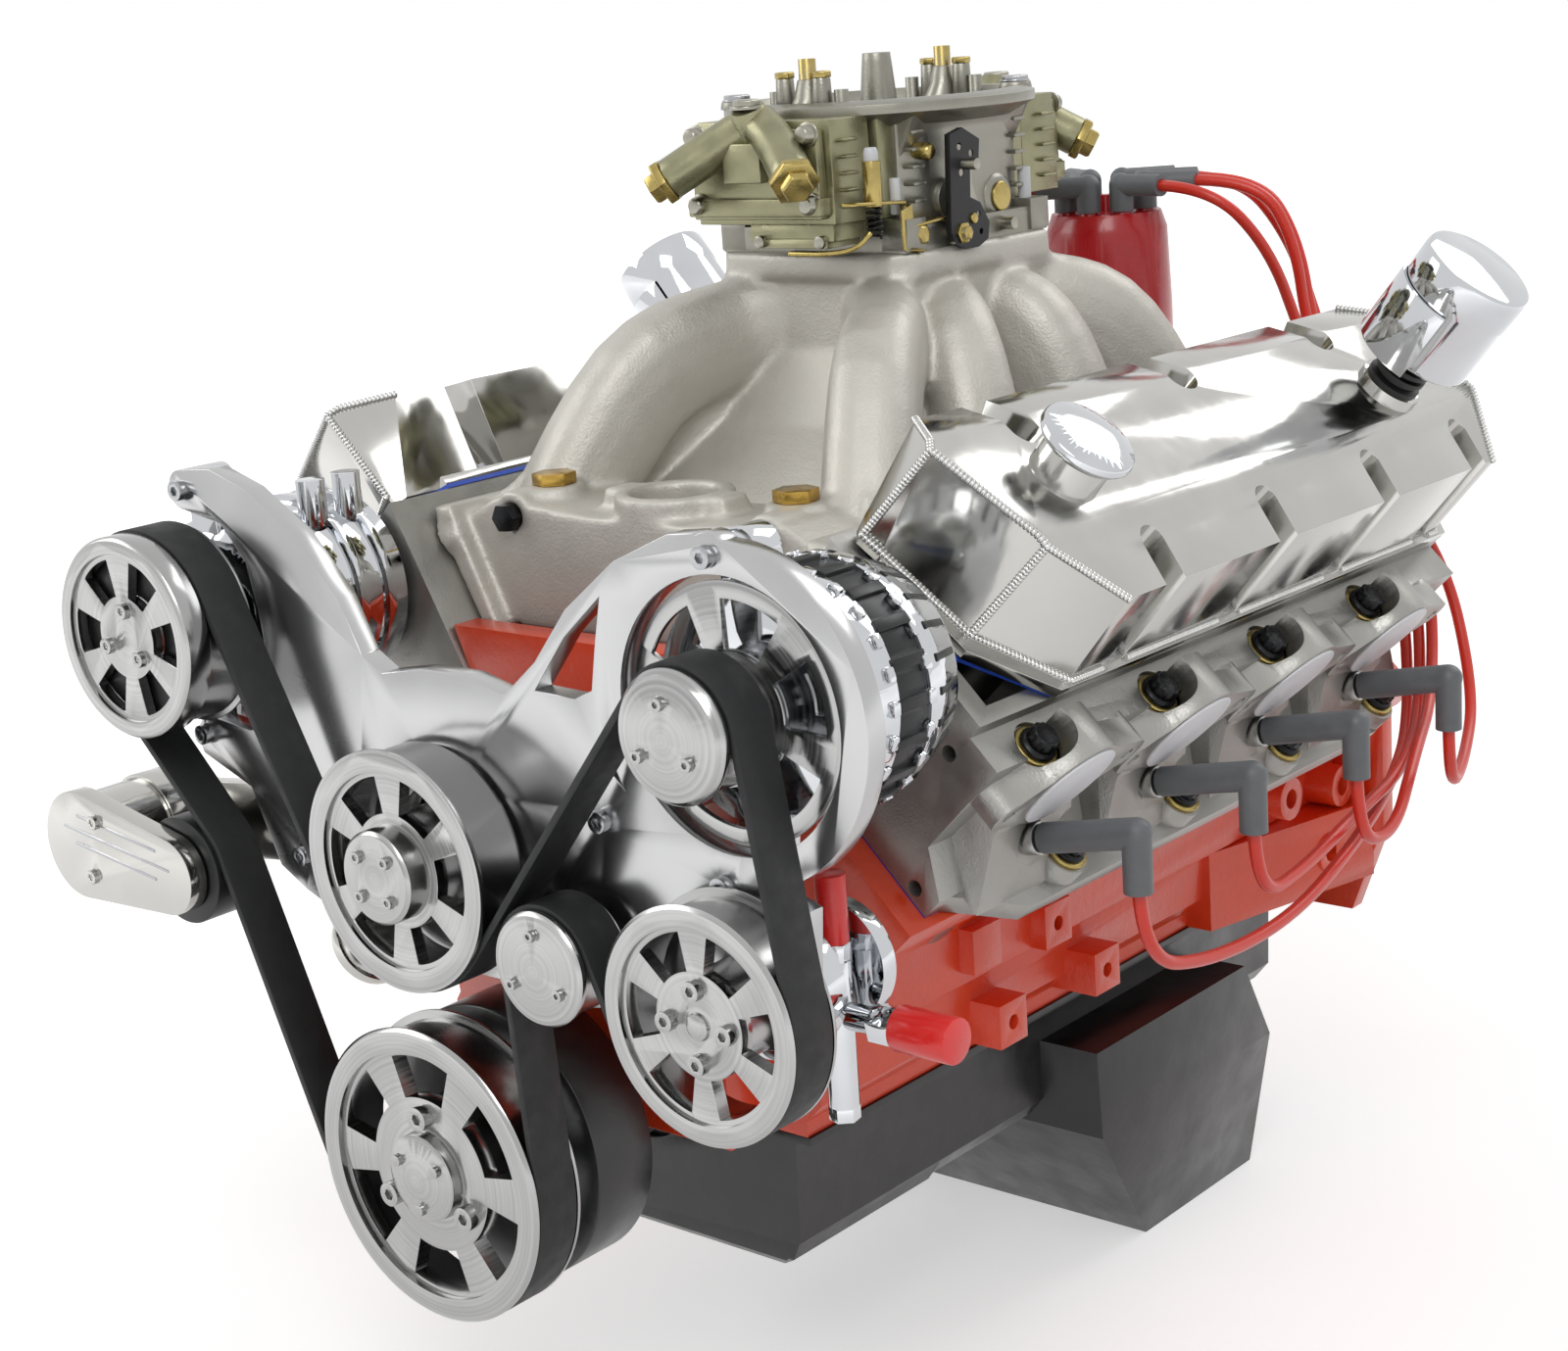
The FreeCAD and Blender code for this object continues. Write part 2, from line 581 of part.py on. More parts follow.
def timing_cover():
    outer = prism_y(mirrored([(28, 199), (52, 182), (66, 160), (74, 131), (74, 96), (112, 40), (112, RAIL_Z)]),
                    CHAIN_Y - 22, BLOCK_FRONT)
    inner = prism_y(mirrored([(26, 195), (49, 179), (62, 158), (70, 131), (70, 92), (88, 40), (88, RAIL_Z - 1)]),
                    CHAIN_Y - 16, BLOCK_FRONT + 1)
    seal = rod(34, (0, CHAIN_Y - 32, 0), (0, CHAIN_Y - 16, 0))
    cover = fuse([outer, seal]).cut(inner)
    cover = cover.cut(rod(BALANCER_HUB_R + SEAT, (0, CHAIN_Y - 40, 0), (0, CHAIN_Y - 10, 0)))
    save("timing_cover", cover)


BALANCER_HUB_R = 24.0
BALANCER_R = 84.0
BALANCER_Y = (-712.0, -664.0)


# Heads, gaskets and covers
BORE_LOCAL = [(i - 1.5) * BORE_SPACING for i in range(4)]
UPPER_BOLT = (28.6, 100.0, -37.0)
LOWER_BOLT = (68.0, 28.0, 21.0)
PLUG_SEAT = (56.0, 41.0)
HEAD_BOLT = 11.0
HOLE_GAP = 0.1
BOLT_GRIP = 24.0


def bank_rod(radius, v0, h0, v1, h1, y):
    return rod(radius, (v0, y, h0), (v1, y, h1))


def cylinder_head():
    half = HEAD_LENGTH / 2
    body = prism_y([(-92, HEAD_GASKET), (60, HEAD_GASKET), (60, 16), (34, 34), (34, 104),
                    (RAIL_OUT, 104), (RAIL_OUT, RAIL_H), (RAIL_IN, RAIL_H)], -half, half)
    plate = prism_z([(40, -half), (54, -half), (85, -half + 62), (85, half - 62), (54, half), (40, half)],
                    HEAD_GASKET, 15)
    parts, holes = [body, plate], []
    for y in BORE_LOCAL:
        port = y + PORT_OFFSET
        parts.append(bank_rod(34, 20, PORT_H, PORT_FACE, PORT_H, port))
        ears = [(port - 50, PORT_H - 8), (port + 50, PORT_H + 8)]
        for (ey, eh), s in zip(ears, (-1, 1)):
            parts.append(bank_rod(12, 30, eh, PORT_FACE, eh, ey))
            parts.append(prism_x([(port, PORT_H + 33), (port, PORT_H - 33), (ey, eh - 12), (ey, eh + 12)],
                                 34, PORT_FACE))
            holes.append(bank_rod(4.2, PORT_FACE - 18, eh, PORT_FACE + 1, eh, ey))
        lower = skin([(30, port - 32, PORT_H), (44, port - 30, PORT_H), (44, port + 30, PORT_H),
                      (30, port + 32, PORT_H)],
                     [(30, port - 40, 54), (50, port - 38, 54), (50, port + 38, 54), (30, port + 40, 54)],
                     [(30, port - 46, 14), (76, port - 44, 14), (76, port + 44, 14), (30, port + 46, 14)])
        parts.append(lower)
        parts.append(bank_rod(17, 20, 10, PLUG_SEAT[0], PLUG_SEAT[1], port))
        v, h = PLUG_SEAT
        dv, dh = BOOT_ELBOW[0] - v, BOOT_ELBOW[1] - h
        holes.append(bank_rod(11.5, v, h, v + dv * 0.4, h + dh * 0.4, port))
        holes.append(bank_rod(7 + HOLE_GAP, v - dv * 0.3, h - dh * 0.3, v + dv * 0.01, h + dh * 0.01, port))
        holes.append(bank_rod(20, -6, PORT_H - 14, PORT_FACE + 1, PORT_H, port))
        parts.append(bank_rod(15, UPPER_BOLT[0], 80, UPPER_BOLT[0], UPPER_BOLT[1], y + UPPER_BOLT[2]))
        parts.append(bank_rod(16, LOWER_BOLT[0], 2, LOWER_BOLT[0], LOWER_BOLT[1], y + LOWER_BOLT[2]))
        for v, h, dy in (UPPER_BOLT, LOWER_BOLT):
            holes.append(bank_rod(HEAD_BOLT / 2 + HOLE_GAP, v, h - BOLT_GRIP, v, h + 1, y + dy))
            holes.append(bank_rod(HEAD_BOLT * 1.4, v, h, v, h + 40, y + dy))
        holes.append(bank_rod(BORE_R - 5, 0, 0, 0, 11, y))
        holes.append(box(-140, -88, y - 22, y + 22, 26, 86))
    holes.append(box(RAIL_IN + 16, RAIL_OUT - 10, -half + 16, half - 16, 72, RAIL_H + 1))
    for end in (-half, half):
        inward = 20 if end < 0 else -20
        for v, h in ((44.5, 8), (7, 86)):
            holes.append(rod(4.8, (v, end - inward * 0.1, h), (v, end + inward, h)))
    solid = max(cut(fuse(parts), holes).Solids, key=lambda s: s.Volume)
    for side, name in ((1, "left"), (-1, "right")):
        save("cylinder_head_" + name, to_bank(solid, side))


# plan outline of a cover on the left bank, (v, y): clipped corners
COVER_PLAN = [(-146, -530), (-116, -560), (-38, -540), (8, -494), (8, -62), (-48, -36),
              (-116, -36), (-146, -60)]
COVER_SECTION = [(-123, 0), (-146, 62), (-122, 77), (-45, 84), (3, 74), (8, 0)]
OUTER_SLOTS = [-451.0, -328.0, -202.0, -84.0]
INNER_SLOTS = [(-476.0, -114.0), (-306.0, -120.0), (-140.0, -120.0)]
SLOT_R = 10.0
SLOT_END = -22.0
CAP_SEAT = (-76.0, -483.0)
BREATHER_SEAT = (-66.0, -128.0)
TOP_SLOPE = 5.2
CAP_NECK = 22.0
BREATHER_NECK_R = 17.0
BREATHER_R = 37.0
BREATHER_HEIGHT = 104.0


def face_height(v):
    # height of a cover's main top face above the head's deck
    return RAIL_H + GASKET + 77 + (v + 122) * math.tan(math.radians(TOP_SLOPE))


def square_to_face(shape, seat):
    v, y = seat
    turned = shape.copy()
    turned.rotate(V(v, y, face_height(v)), V(0, 1, 0), -TOP_SLOPE)
    return turned


def cover_hull(inset, base):
    top = base + 1
    rise = [(v, h) for v, h in COVER_SECTION]
    section = prism_y([(v + (inset if v < -100 else -inset if v > 0 else 0), base + h - (inset if h else 0))
                       for v, h in rise], -570 + inset, -20 - inset)
    centre_v = -69.0
    plan = []
    for v, y in COVER_PLAN:
        plan.append((v - math.copysign(inset, v - centre_v), y - math.copysign(inset, y + 298)))
    return section.common(prism_z(plan, top - 2, top + 200))


def valve_covers():
    base = RAIL_H + GASKET
    flange_top = base + 7
    plan = [(-126, -520), (-98, -562), (-30, -552), (12, -506), (12, -50), (-20, -34), (-98, -34), (-126, -70)]
    flange = prism_z(plan, base, flange_top)
    window = prism_z([(-112, -515), (-94, -546), (-36, -530), (-2, -494), (-2, -70), (-40, -48),
                      (-94, -48), (-112, -70)], base - 1, flange_top + 1)
    outer_cut, inner_cut = [], []
    for y in OUTER_SLOTS:
        for r, group in ((SLOT_R, outer_cut), (SLOT_R + COVER_WALL, inner_cut)):
            group.append(rod(r, (SLOT_END, y, flange_top), (SLOT_END, y, base + 100)))
            group.append(box(SLOT_END, 30, y - r, y + r, flange_top, base + 100))
    for y, v in INNER_SLOTS:
        for r, group in ((SLOT_R + 2, outer_cut), (SLOT_R + 2 + COVER_WALL, inner_cut)):
            group.append(rod(r, (v, y, flange_top), (v, y, base + 100)))
            group.append(box(-160, v, y - r, y + r, flange_top, base + 100))
    outside = cut(cover_hull(0, base), outer_cut)
    inside = cut(cover_hull(COVER_WALL, base), inner_cut)
    v, y = CAP_SEAT
    face = face_height(v)
    neck = square_to_face(rod(21, (v, y, face - 20), (v, y, face + CAP_NECK)), CAP_SEAT)
    filler = square_to_face(rod(18, (v, y, face - 30), (v, y, face + CAP_NECK + 1)), CAP_SEAT)
    v, y = BREATHER_SEAT
    face = face_height(v)
    vent = square_to_face(rod(BREATHER_NECK_R + HOLE_GAP, (v, y, face - 30), (v, y, face + 9)), BREATHER_SEAT)
    rim = square_to_face(rod(BREATHER_NECK_R + 4, (v, y, face - 10), (v, y, face + 8)), BREATHER_SEAT)
    posts = [rod(7, (0, y, base), (0, y, flange_top)) for y in OUTER_SLOTS]
    shell = fuse([outside.cut(inside), flange.cut(window)] + posts)
    left = cut(fuse([shell, neck.cut(inside), rim.cut(inside)]), [filler, vent])
    right = cut(fuse([shell, rim.cut(inside)]), [vent])
    shift = V(0, -HEAD_CENTRE, 0)
    save("valve_cover_left", to_bank(left.translated(shift), 1))
    save("valve_cover_right", to_bank(right.translated(shift).mirror(V(0, 0, 0), V(0, 1, 0)), -1))
    outer = prism_z([(v + (-3 if v > 0 else -1), y) for v, y in plan], RAIL_H, RAIL_H + GASKET)
    hole = prism_z([(-110, -512), (-94, -542), (-36, -526), (-4, -494), (-4, -72), (-40, -54),
                    (-94, -54), (-110, -74)], RAIL_H - 1, base + 1)
    rail = outer.cut(hole).translated(shift)
    pieces = []
    half = HEAD_LENGTH / 2
    deck = box(-90, 60, -half, half, 0, HEAD_GASKET)
    deck = cut(deck, [bank_rod(BORE_R + 1, 0, -1, 0, 2, y) for y in BORE_LOCAL])
    pieces.extend([to_bank(rail, 1), to_bank(rail.mirror(V(0, 0, 0), V(0, 1, 0)), -1)])
    pieces.extend([to_bank(deck, side) for side in SIDES])
    save("gaskets", *pieces)


def oil_cap():
    v, y = CAP_SEAT
    top = face_height(v) + CAP_NECK
    cap = fuse([rod(17.5, (v, y, top - 14), (v, y, top + 3)),
                turned_z([(0, top + SEAT), (26, top + SEAT), (29, top + 4), (28, top + 8), (16, top + 11),
                          (0, top + 12)], v, y)])
    save("oil_cap", to_bank(square_to_face(cap, CAP_SEAT).translated(V(0, -HEAD_CENTRE, 0)), 1))


def breathers():
    v, y = BREATHER_SEAT
    face = face_height(v)
    low, top = face + BREATHER_HEIGHT - 70, face + BREATHER_HEIGHT
    neck = turned_z([(0, face - 16), (BREATHER_NECK_R, face - 16), (BREATHER_NECK_R, face + 12),
                     (BREATHER_NECK_R - 3, face + 14), (BREATHER_NECK_R - 3, face + 19),
                     (BREATHER_NECK_R + 1, face + 21), (BREATHER_NECK_R + 1, low + 1), (0, low + 1)], v, y)
    can = turned_z([(0, low), (BREATHER_R - 3, low), (BREATHER_R - 1, low + 3), (BREATHER_R - 1, top - 24),
                    (BREATHER_R, top - 23), (BREATHER_R, top - 3), (BREATHER_R - 3, top), (0, top)], v, y)
    ring = turned_z([(BREATHER_R - 2, low - 3), (BREATHER_R + 2, low - 3), (BREATHER_R + 2, top - 26),
                     (BREATHER_R - 2, top - 26)], v, y)
    shield = ring.cut(box(v - 60, v + 60, y + 14, y + 80, low - 20, top))
    whole = square_to_face(fuse([neck, can, shield]), BREATHER_SEAT).translated(V(0, -HEAD_CENTRE, 0))
    save("breathers", to_bank(whole, 1), to_bank(whole.mirror(V(0, 0, 0), V(0, 1, 0)), -1))


def valve_train():
    pieces = []
    for side in SIDES:
        for y in BORE_LOCAL:
            for dy, v, reach in ((-26, -84, 32), (-8, -34, -32)):
                yy = y + dy
                spring = rod(15, (v, yy, 72 + SEAT), (v, yy, 120))
                rocker = stadium_y((v, 126), (v + reach, 126), 9, yy - 8, yy + 8)
                stud = rod(5, (v + reach / 2, yy, 72 + SEAT), (v + reach / 2, yy, 146))
                pieces.append(to_bank(fuse([spring, rocker, stud]), side))
    save("valve_train", *pieces)


def head_bolts():
    pieces = []
    for side in SIDES:
        for y in BORE_LOCAL:
            for v, h, dy in (UPPER_BOLT, LOWER_BOLT):
                bolt = flange_bolt((v, y + dy, h), (0, 0, 1), HEAD_BOLT, BOLT_GRIP)
                pieces.append(to_bank(bolt, side))
    save("head_bolts", *pieces)


def port_covers():
    pieces = []
    for side in SIDES:
        for y in BORE_LOCAL:
            port = y + PORT_OFFSET
            disc = bank_rod(PORT_COVER_R, PORT_FACE, PORT_H, PORT_FACE + 1.6, PORT_H, port)
            pieces.append(to_bank(disc, side))
    save("port_covers", *pieces)


def spark_plugs():
    plugs, boots = [], []
    v, h = PLUG_SEAT
    ev, eh = BOOT_ELBOW
    reach = math.hypot(ev - v, eh - h)
    dv, dh = (ev - v) / reach, (eh - h) / reach

    def step(r, a, b, y):
        return bank_rod(r, v + a * dv, h + a * dh, v + b * dv, h + b * dh, y)

    for side in SIDES:
        for y in BORE_LOCAL:
            port = y + PORT_OFFSET
            plugs.append(to_bank(fuse([step(7, -20, 0, port), step(9.5, 0, 10, port),
                                       step(5.5, 9, 30, port)]), side))
            outer = [step(9, 12, reach, port), Part.makeSphere(9, V(ev, port, eh)),
                     bank_rod(8.4, ev, eh, ev + BOOT_DROP, eh - BOOT_DROP, port)]
            tip = bank_rod(LEAD_R + HOLE_GAP, ev + BOOT_DROP - 10, eh - BOOT_DROP + 10, ev + BOOT_DROP + 1,
                           eh - BOOT_DROP - 1, port)
            boots.append(to_bank(fuse(outer).cut(step(5.5 + HOLE_GAP, 8, 30, port)).cut(tip), side))
    save("spark_plugs", *plugs)
    return boots


BOOT_ELBOW = (97.6, 103.0)
BOOT_DROP = 24.0


# Induction
PLENUM_HALF_Y = 74.0
MANIFOLD_FRONT = -566.0
MANIFOLD_REAR = -20.0
NAME_PAD = (-268.0, -212.0, 430.0, 456.0)


def intake_manifold():
    top = FLANGE_Z
    flange = prism_z([(-CARB_HALF_X, CARB_Y - CARB_HALF_Y + 14), (-CARB_HALF_X + 14, CARB_Y - CARB_HALF_Y),
                      (CARB_HALF_X - 14, CARB_Y - CARB_HALF_Y), (CARB_HALF_X, CARB_Y - CARB_HALF_Y + 14),
                      (CARB_HALF_X, CARB_Y + CARB_HALF_Y - 14), (CARB_HALF_X - 14, CARB_Y + CARB_HALF_Y),
                      (-CARB_HALF_X + 14, CARB_Y + CARB_HALF_Y), (-CARB_HALF_X, CARB_Y + CARB_HALF_Y - 14)],
                     top - 16, top)

    def level(half_x, half_y, z):
        return [(-half_x, CARB_Y - half_y, z), (half_x, CARB_Y - half_y, z),
                (half_x, CARB_Y + half_y, z), (-half_x, CARB_Y + half_y, z)]

    plenum = skin(level(76, 78, top - 14), level(72, 80, top - 60), level(82, 104, top - 105),
                  level(90, 150, top - 150), level(90, 190, 300))
    parts = [flange, plenum]
    holes = []
    for side in SIDES:
        near = bank_point(side, DECK_IN, 12, 0)
        far = bank_point(side, RAIL_IN, 104, 0)
        back = 15.0
        strip = prism_y([(near[0] - SEAT * side, near[2]), (far[0] - SEAT * side, far[2]),
                         (far[0] - side * back, far[2] + 2), (near[0] - side * back, near[2] + 4)],
                        MANIFOLD_FRONT + (BANK_STAGGER if side < 0 else 0) + 22 * (side < 0), MANIFOLD_REAR)
        parts.append(strip)
        for i, y in enumerate(BORE_Y[side]):
            root_y = CARB_Y + (i - 1.5) * PLENUM_HALF_Y / 2
            mid_y = root_y * 0.55 + y * 0.45
            low, high = bank_point(side, -96, 20, 0), bank_point(side, -123, 96, 0)
            x0, x1, x2 = side * 40, side * 98, (low[0] - side * 6, high[0] - side * 6)
            parts.append(skin(
                [(x0, root_y - 22, 360), (x0, root_y + 22, 360), (x0, root_y + 20, top - 22),
                 (x0, root_y - 20, top - 22)],
                [(x1, mid_y - 25, 300), (x1, mid_y + 25, 300), (x1 - side * 4, mid_y + 22, 404),
                 (x1 - side * 4, mid_y - 22, 404)],
                [(x2[0], y - 30, low[2]), (x2[0], y + 30, low[2]), (x2[1], y + 27, high[2]),
                 (x2[1], y - 27, high[2])]))
            for dy in (-46, 46):
                a, b = bank_point(side, -110, 96 if dy < 0 else 30, y + dy), (side * 60, y + dy, 300)
                step = V(b[0] - a[0], 0, b[2] - a[2]).normalize() * 24
                parts.append(rod(11, (a[0] - side * 2, a[1], a[2]), (a[0] + step.x, a[1], a[2] + step.z)))
        plug_y = THERMO_Y + (6 if side > 0 else -4)
        parts.append(rod(19, (side * 94, plug_y, 280), (side * 94, plug_y, CROSSOVER_Z - 2)))
        parts.append(rod(16, (side * 103, MANIFOLD_FRONT + 40, 334), (side * 103, MANIFOLD_FRONT + 14, 334)))
        holes.append(rod(9, (side * 94, plug_y, CROSSOVER_Z - 22), (side * 94, plug_y, CROSSOVER_Z + 5)))
        holes.append(rod(8, (side * 103, MANIFOLD_FRONT + 32, 334), (side * 103, MANIFOLD_FRONT + 12, 334)))
    cross = prism_y(mirrored([(104, 264), (146, 330), (118, 345), (40, 338), (18, 338)]),
                    MANIFOLD_FRONT + 14, MANIFOLD_FRONT + 92)
    rear = prism_y(mirrored([(106, 264), (150, 330), (96, 330), (60, 312)]), MANIFOLD_REAR - 62, MANIFOLD_REAR)
    web = box(-112, 112, MANIFOLD_FRONT + 60, MANIFOLD_REAR - 40, 263, 271)
    thermo = rod(37, (4, THERMO_Y, 300), (4, THERMO_Y, CROSSOVER_Z))
    ears = loft([(4 - 52, THERMO_Y - 14, CROSSOVER_Z - 14), (4 + 52, THERMO_Y - 14, CROSSOVER_Z - 14),
                 (4 + 52, THERMO_Y + 14, CROSSOVER_Z - 14), (4 - 52, THERMO_Y + 14, CROSSOVER_Z - 14)],
                [(4 - 48, THERMO_Y - 12, CROSSOVER_Z), (4 + 48, THERMO_Y - 12, CROSSOVER_Z),
                 (4 + 48, THERMO_Y + 12, CROSSOVER_Z), (4 - 48, THERMO_Y + 12, CROSSOVER_Z)])
    dist_pad = rod(38, (DIST_X, DIST_Y, 290), (DIST_X, DIST_Y, DIST_PAD_Z))
    pad = box(60, CARB_HALF_X - 2, NAME_PAD[0] - 8, NAME_PAD[1] + 8, NAME_PAD[2] - 6, NAME_PAD[3] + 2)
    parts.extend([cross, rear, web, thermo, ears, dist_pad, pad])
    holes.extend([
        box(CARB_HALF_X - 4, CARB_HALF_X + 5, NAME_PAD[0], NAME_PAD[1], NAME_PAD[2], NAME_PAD[3] - 2),
        rod(27, (4, THERMO_Y, CROSSOVER_Z - 24), (4, THERMO_Y, CROSSOVER_Z + 1)),
        rod(DIST_SHANK_R + 3, (DIST_X, DIST_Y, 240), (DIST_X, DIST_Y, DIST_PAD_Z + 1)),
        skin(level(62, 66, top + 1), level(60, 66, top - 60), level(64, 84, top - 100), level(66, 96, 340))])
    for x in (-66, 66):
        for y in (-68, 68):
            holes.append(rod(3.4, (x, CARB_Y + y, top - 18), (x, CARB_Y + y, top + 1)))
    solid = parts[0]
    for piece in parts[1:]:
        solid = solid.fuse(piece)
    # nothing of the casting passes the two intake faces, and it stops on the block's end walls
    for side in SIDES:
        near, far = bank_point(side, DECK_IN, 0, 0), bank_point(side, RAIL_IN, RAIL_H, 0)
        dx, dz = far[0] - near[0], far[2] - near[2]
        holes.append(prism_y([(near[0] - dx * 0.6 - side * SEAT, near[2] - dz * 0.6),
                              (far[0] + dx * 0.06 - side * SEAT, far[2] + dz * 0.06),
                              (far[0] + side * 120, far[2]), (near[0] + side * 120, near[2] - 60)], -620, 20))
    holes.append(box(-160, 160, BLOCK_FRONT, 10, 200, 263))
    solid = solid.cut(Part.makeCompound(holes))
    save("intake_manifold", max(solid.Solids, key=lambda s: s.Volume))


DIST_PAD_Z = 334.0


def brass_plugs():
    pieces = []
    for side in SIDES:
        plug_y = THERMO_Y + (6 if side > 0 else -4)
        shank = rod(9, (side * 94, plug_y, CROSSOVER_Z - 20), (side * 94, plug_y, CROSSOVER_Z - 1))
        pieces.append(fuse([shank, hex_head((side * 94, plug_y, CROSSOVER_Z - 2), (0, 0, 1), 24, 7)]))
        pieces.append(fuse([rod(8, (side * 103, MANIFOLD_FRONT + 30, 334), (side * 103, MANIFOLD_FRONT + 12, 334)),
                            hex_head((side * 103, MANIFOLD_FRONT + 14, 334), (0, -1, 0), 16, 8)]))
    save("pipe_plugs", *pieces)


BARRELS = [(-BARREL_X, -BARREL_Y), (BARREL_X, -BARREL_Y), (-BARREL_X, BARREL_Y), (BARREL_X, BARREL_Y)]
CARB_TOP = FLANGE_Z + BASE_PLATE + CARB_BODY_H


def carburetor():
    z0, z1 = FLANGE_Z, FLANGE_Z + BASE_PLATE
    base = prism_z([(-74, CARB_Y - 76), (74, CARB_Y - 76), (74, CARB_Y + 76), (-74, CARB_Y + 76)], z0, z1)
    bores = [rod(BORE_BUTTERFLY, (x, CARB_Y + y, z0 - 1), (x, CARB_Y + y, z1 + 1)) for x, y in BARRELS]
    shafts = [rod(4.05, (-90, CARB_Y + y, z0 + 8), (90, CARB_Y + y, z0 + 8)) for y in (-BARREL_Y, BARREL_Y)]
    slots = [rod(3.4, (x, CARB_Y + y, z0 - 1), (x, CARB_Y + y, z1 + 1)) for x in (-66, 66) for y in (-68, 68)]
    save("carburetor_base_plate", cut(base, bores + shafts + slots))

    body = prism_z([(-60, CARB_Y - 62), (60, CARB_Y - 62), (68, CARB_Y - 40), (68, CARB_Y + 40),
                    (60, CARB_Y + 62), (-60, CARB_Y + 62), (-68, CARB_Y + 40), (-68, CARB_Y - 40)],
                   z1, CARB_TOP - HORN_THICK + 1)
    floor = loft([(-58, CARB_Y - 60, CARB_TOP - 34), (58, CARB_Y - 60, CARB_TOP - 34),
                  (58, CARB_Y + 60, CARB_TOP - 34), (-58, CARB_Y + 60, CARB_TOP - 34)],
                 [(-76, CARB_Y - 61, CARB_TOP - 6), (76, CARB_Y - 61, CARB_TOP - 6),
                  (76, CARB_Y + 61, CARB_TOP - 6), (-76, CARB_Y + 61, CARB_TOP - 6)])
    horn = turned_z([(0, CARB_TOP - 14), (84, CARB_TOP - 14), (HORN_R, CARB_TOP - 7), (HORN_R, CARB_TOP - 2),
                     (HORN_R - 8, CARB_TOP), (0, CARB_TOP)], 0, CARB_Y)
    tower = taper(15, 9, (0, CARB_Y, CARB_TOP - 30), (0, CARB_Y, CARB_TOP + 22))
    well = turned_z([(0, CARB_TOP - 9), (78, CARB_TOP - 9), (85, CARB_TOP + 1), (0, CARB_TOP + 1)], 0, CARB_Y)
    solid = fuse([body, floor, horn]).cut(well)
    bridge = [tower]
    for y in (-70, 70):
        bridge.append(rod(5.5, (0, CARB_Y + y, CARB_TOP - 10), (0, CARB_Y + y, CARB_TOP + 38)))
        bridge.append(rod(4.5, (-26, CARB_Y + y, CARB_TOP - 10), (-26, CARB_Y + y, CARB_TOP + 6)))
        bridge.append(rod(4.5, (26, CARB_Y + y, CARB_TOP - 10), (26, CARB_Y + y, CARB_TOP + 6)))
    holes = []
    for x, y in BARRELS:
        swing = z0 + 8 + BORE_BUTTERFLY + 2
        holes.append(rod(BORE_BUTTERFLY, (x, CARB_Y + y, z1 - 1), (x, CARB_Y + y, swing)))
        holes.append(rod(VENTURI_R, (x, CARB_Y + y, swing - 1), (x, CARB_Y + y, CARB_TOP - 28)))
        holes.append(taper(VENTURI_R, VENTURI_R + 2, (x, CARB_Y + y, CARB_TOP - 28.5),
                           (x, CARB_Y + y, CARB_TOP - 8)))
    for y in (-70, 70):
        lean = rod(3.6, (0, CARB_Y + y, CARB_TOP - 6), (0, CARB_Y + y, CARB_TOP + 40))
        slant = prism_x([(CARB_Y + y - 8, CARB_TOP + 24), (CARB_Y + y + 8, CARB_TOP + 42),
                         (CARB_Y + y - 8, CARB_TOP + 42)], -8, 8)
        holes.extend([lean, slant])
    save("carburetor_body", cut(fuse([solid] + bridge), holes))

    bowls = []
    for end in (-1, 1):
        y0, y1, y2 = CARB_Y + end * 62, CARB_Y + end * 78, CARB_Y + end * 122
        block = box(-58, 58, min(y0, y1), max(y0, y1), z1 + 2, CARB_TOP - 15)
        bowl = loft([(-56, y1, z1 + 4), (56, y1, z1 + 4), (56, y1, CARB_TOP - 18), (-56, y1, CARB_TOP - 18)],
                    [(-56, y2 - end * 12, z1 + 4), (56, y2 - end * 12, z1 + 4),
                     (56, y2 - end * 12, CARB_TOP - 18), (-56, y2 - end * 12, CARB_TOP - 18)],
                    [(-46, y2, z1 + 12), (46, y2, z1 + 12), (46, y2, CARB_TOP - 26), (-46, y2, CARB_TOP - 26)])
        pieces = [bowl, rod(10, (0, y2 - end * 10, CARB_TOP - 34), (0, y2 - end * 10, CARB_TOP - 10)),
                  hex_head((0, y2 - end * 10, CARB_TOP - 10), (0, 0, 1), 14, 7)]
        for x in (-50, 50):
            inlet = (x * 0.4, y2 - end * 18, CARB_TOP - 40)
            tip = (x * 1.24, y2 + end * 16, CARB_TOP - 42)
            pieces.append(rod(12.5, inlet, tip))
            aim = (tip[0] - inlet[0], tip[1] - inlet[1], tip[2] - inlet[2])
            pieces.append(hex_head(tip, aim, 24, 8))
            for z in (z1 + 14, CARB_TOP - 30):
                pieces.append(hex_head((x * 0.84, y2 - end * 3, z), (0, end, 0), 9, 8))
        bowls.extend([block, fuse(pieces)])
    pump = fuse([loft([(-34, CARB_Y - 116, z1 + 4), (34, CARB_Y - 116, z1 + 4), (34, CARB_Y - 80, z1 + 4),
                       (-34, CARB_Y - 80, z1 + 4)],
                      [(-26, CARB_Y - 112, z1 - 8), (26, CARB_Y - 112, z1 - 8), (26, CARB_Y - 84, z1 - 8),
                       (-26, CARB_Y - 84, z1 - 8)])])
    save("fuel_bowls", *bowls, pump)


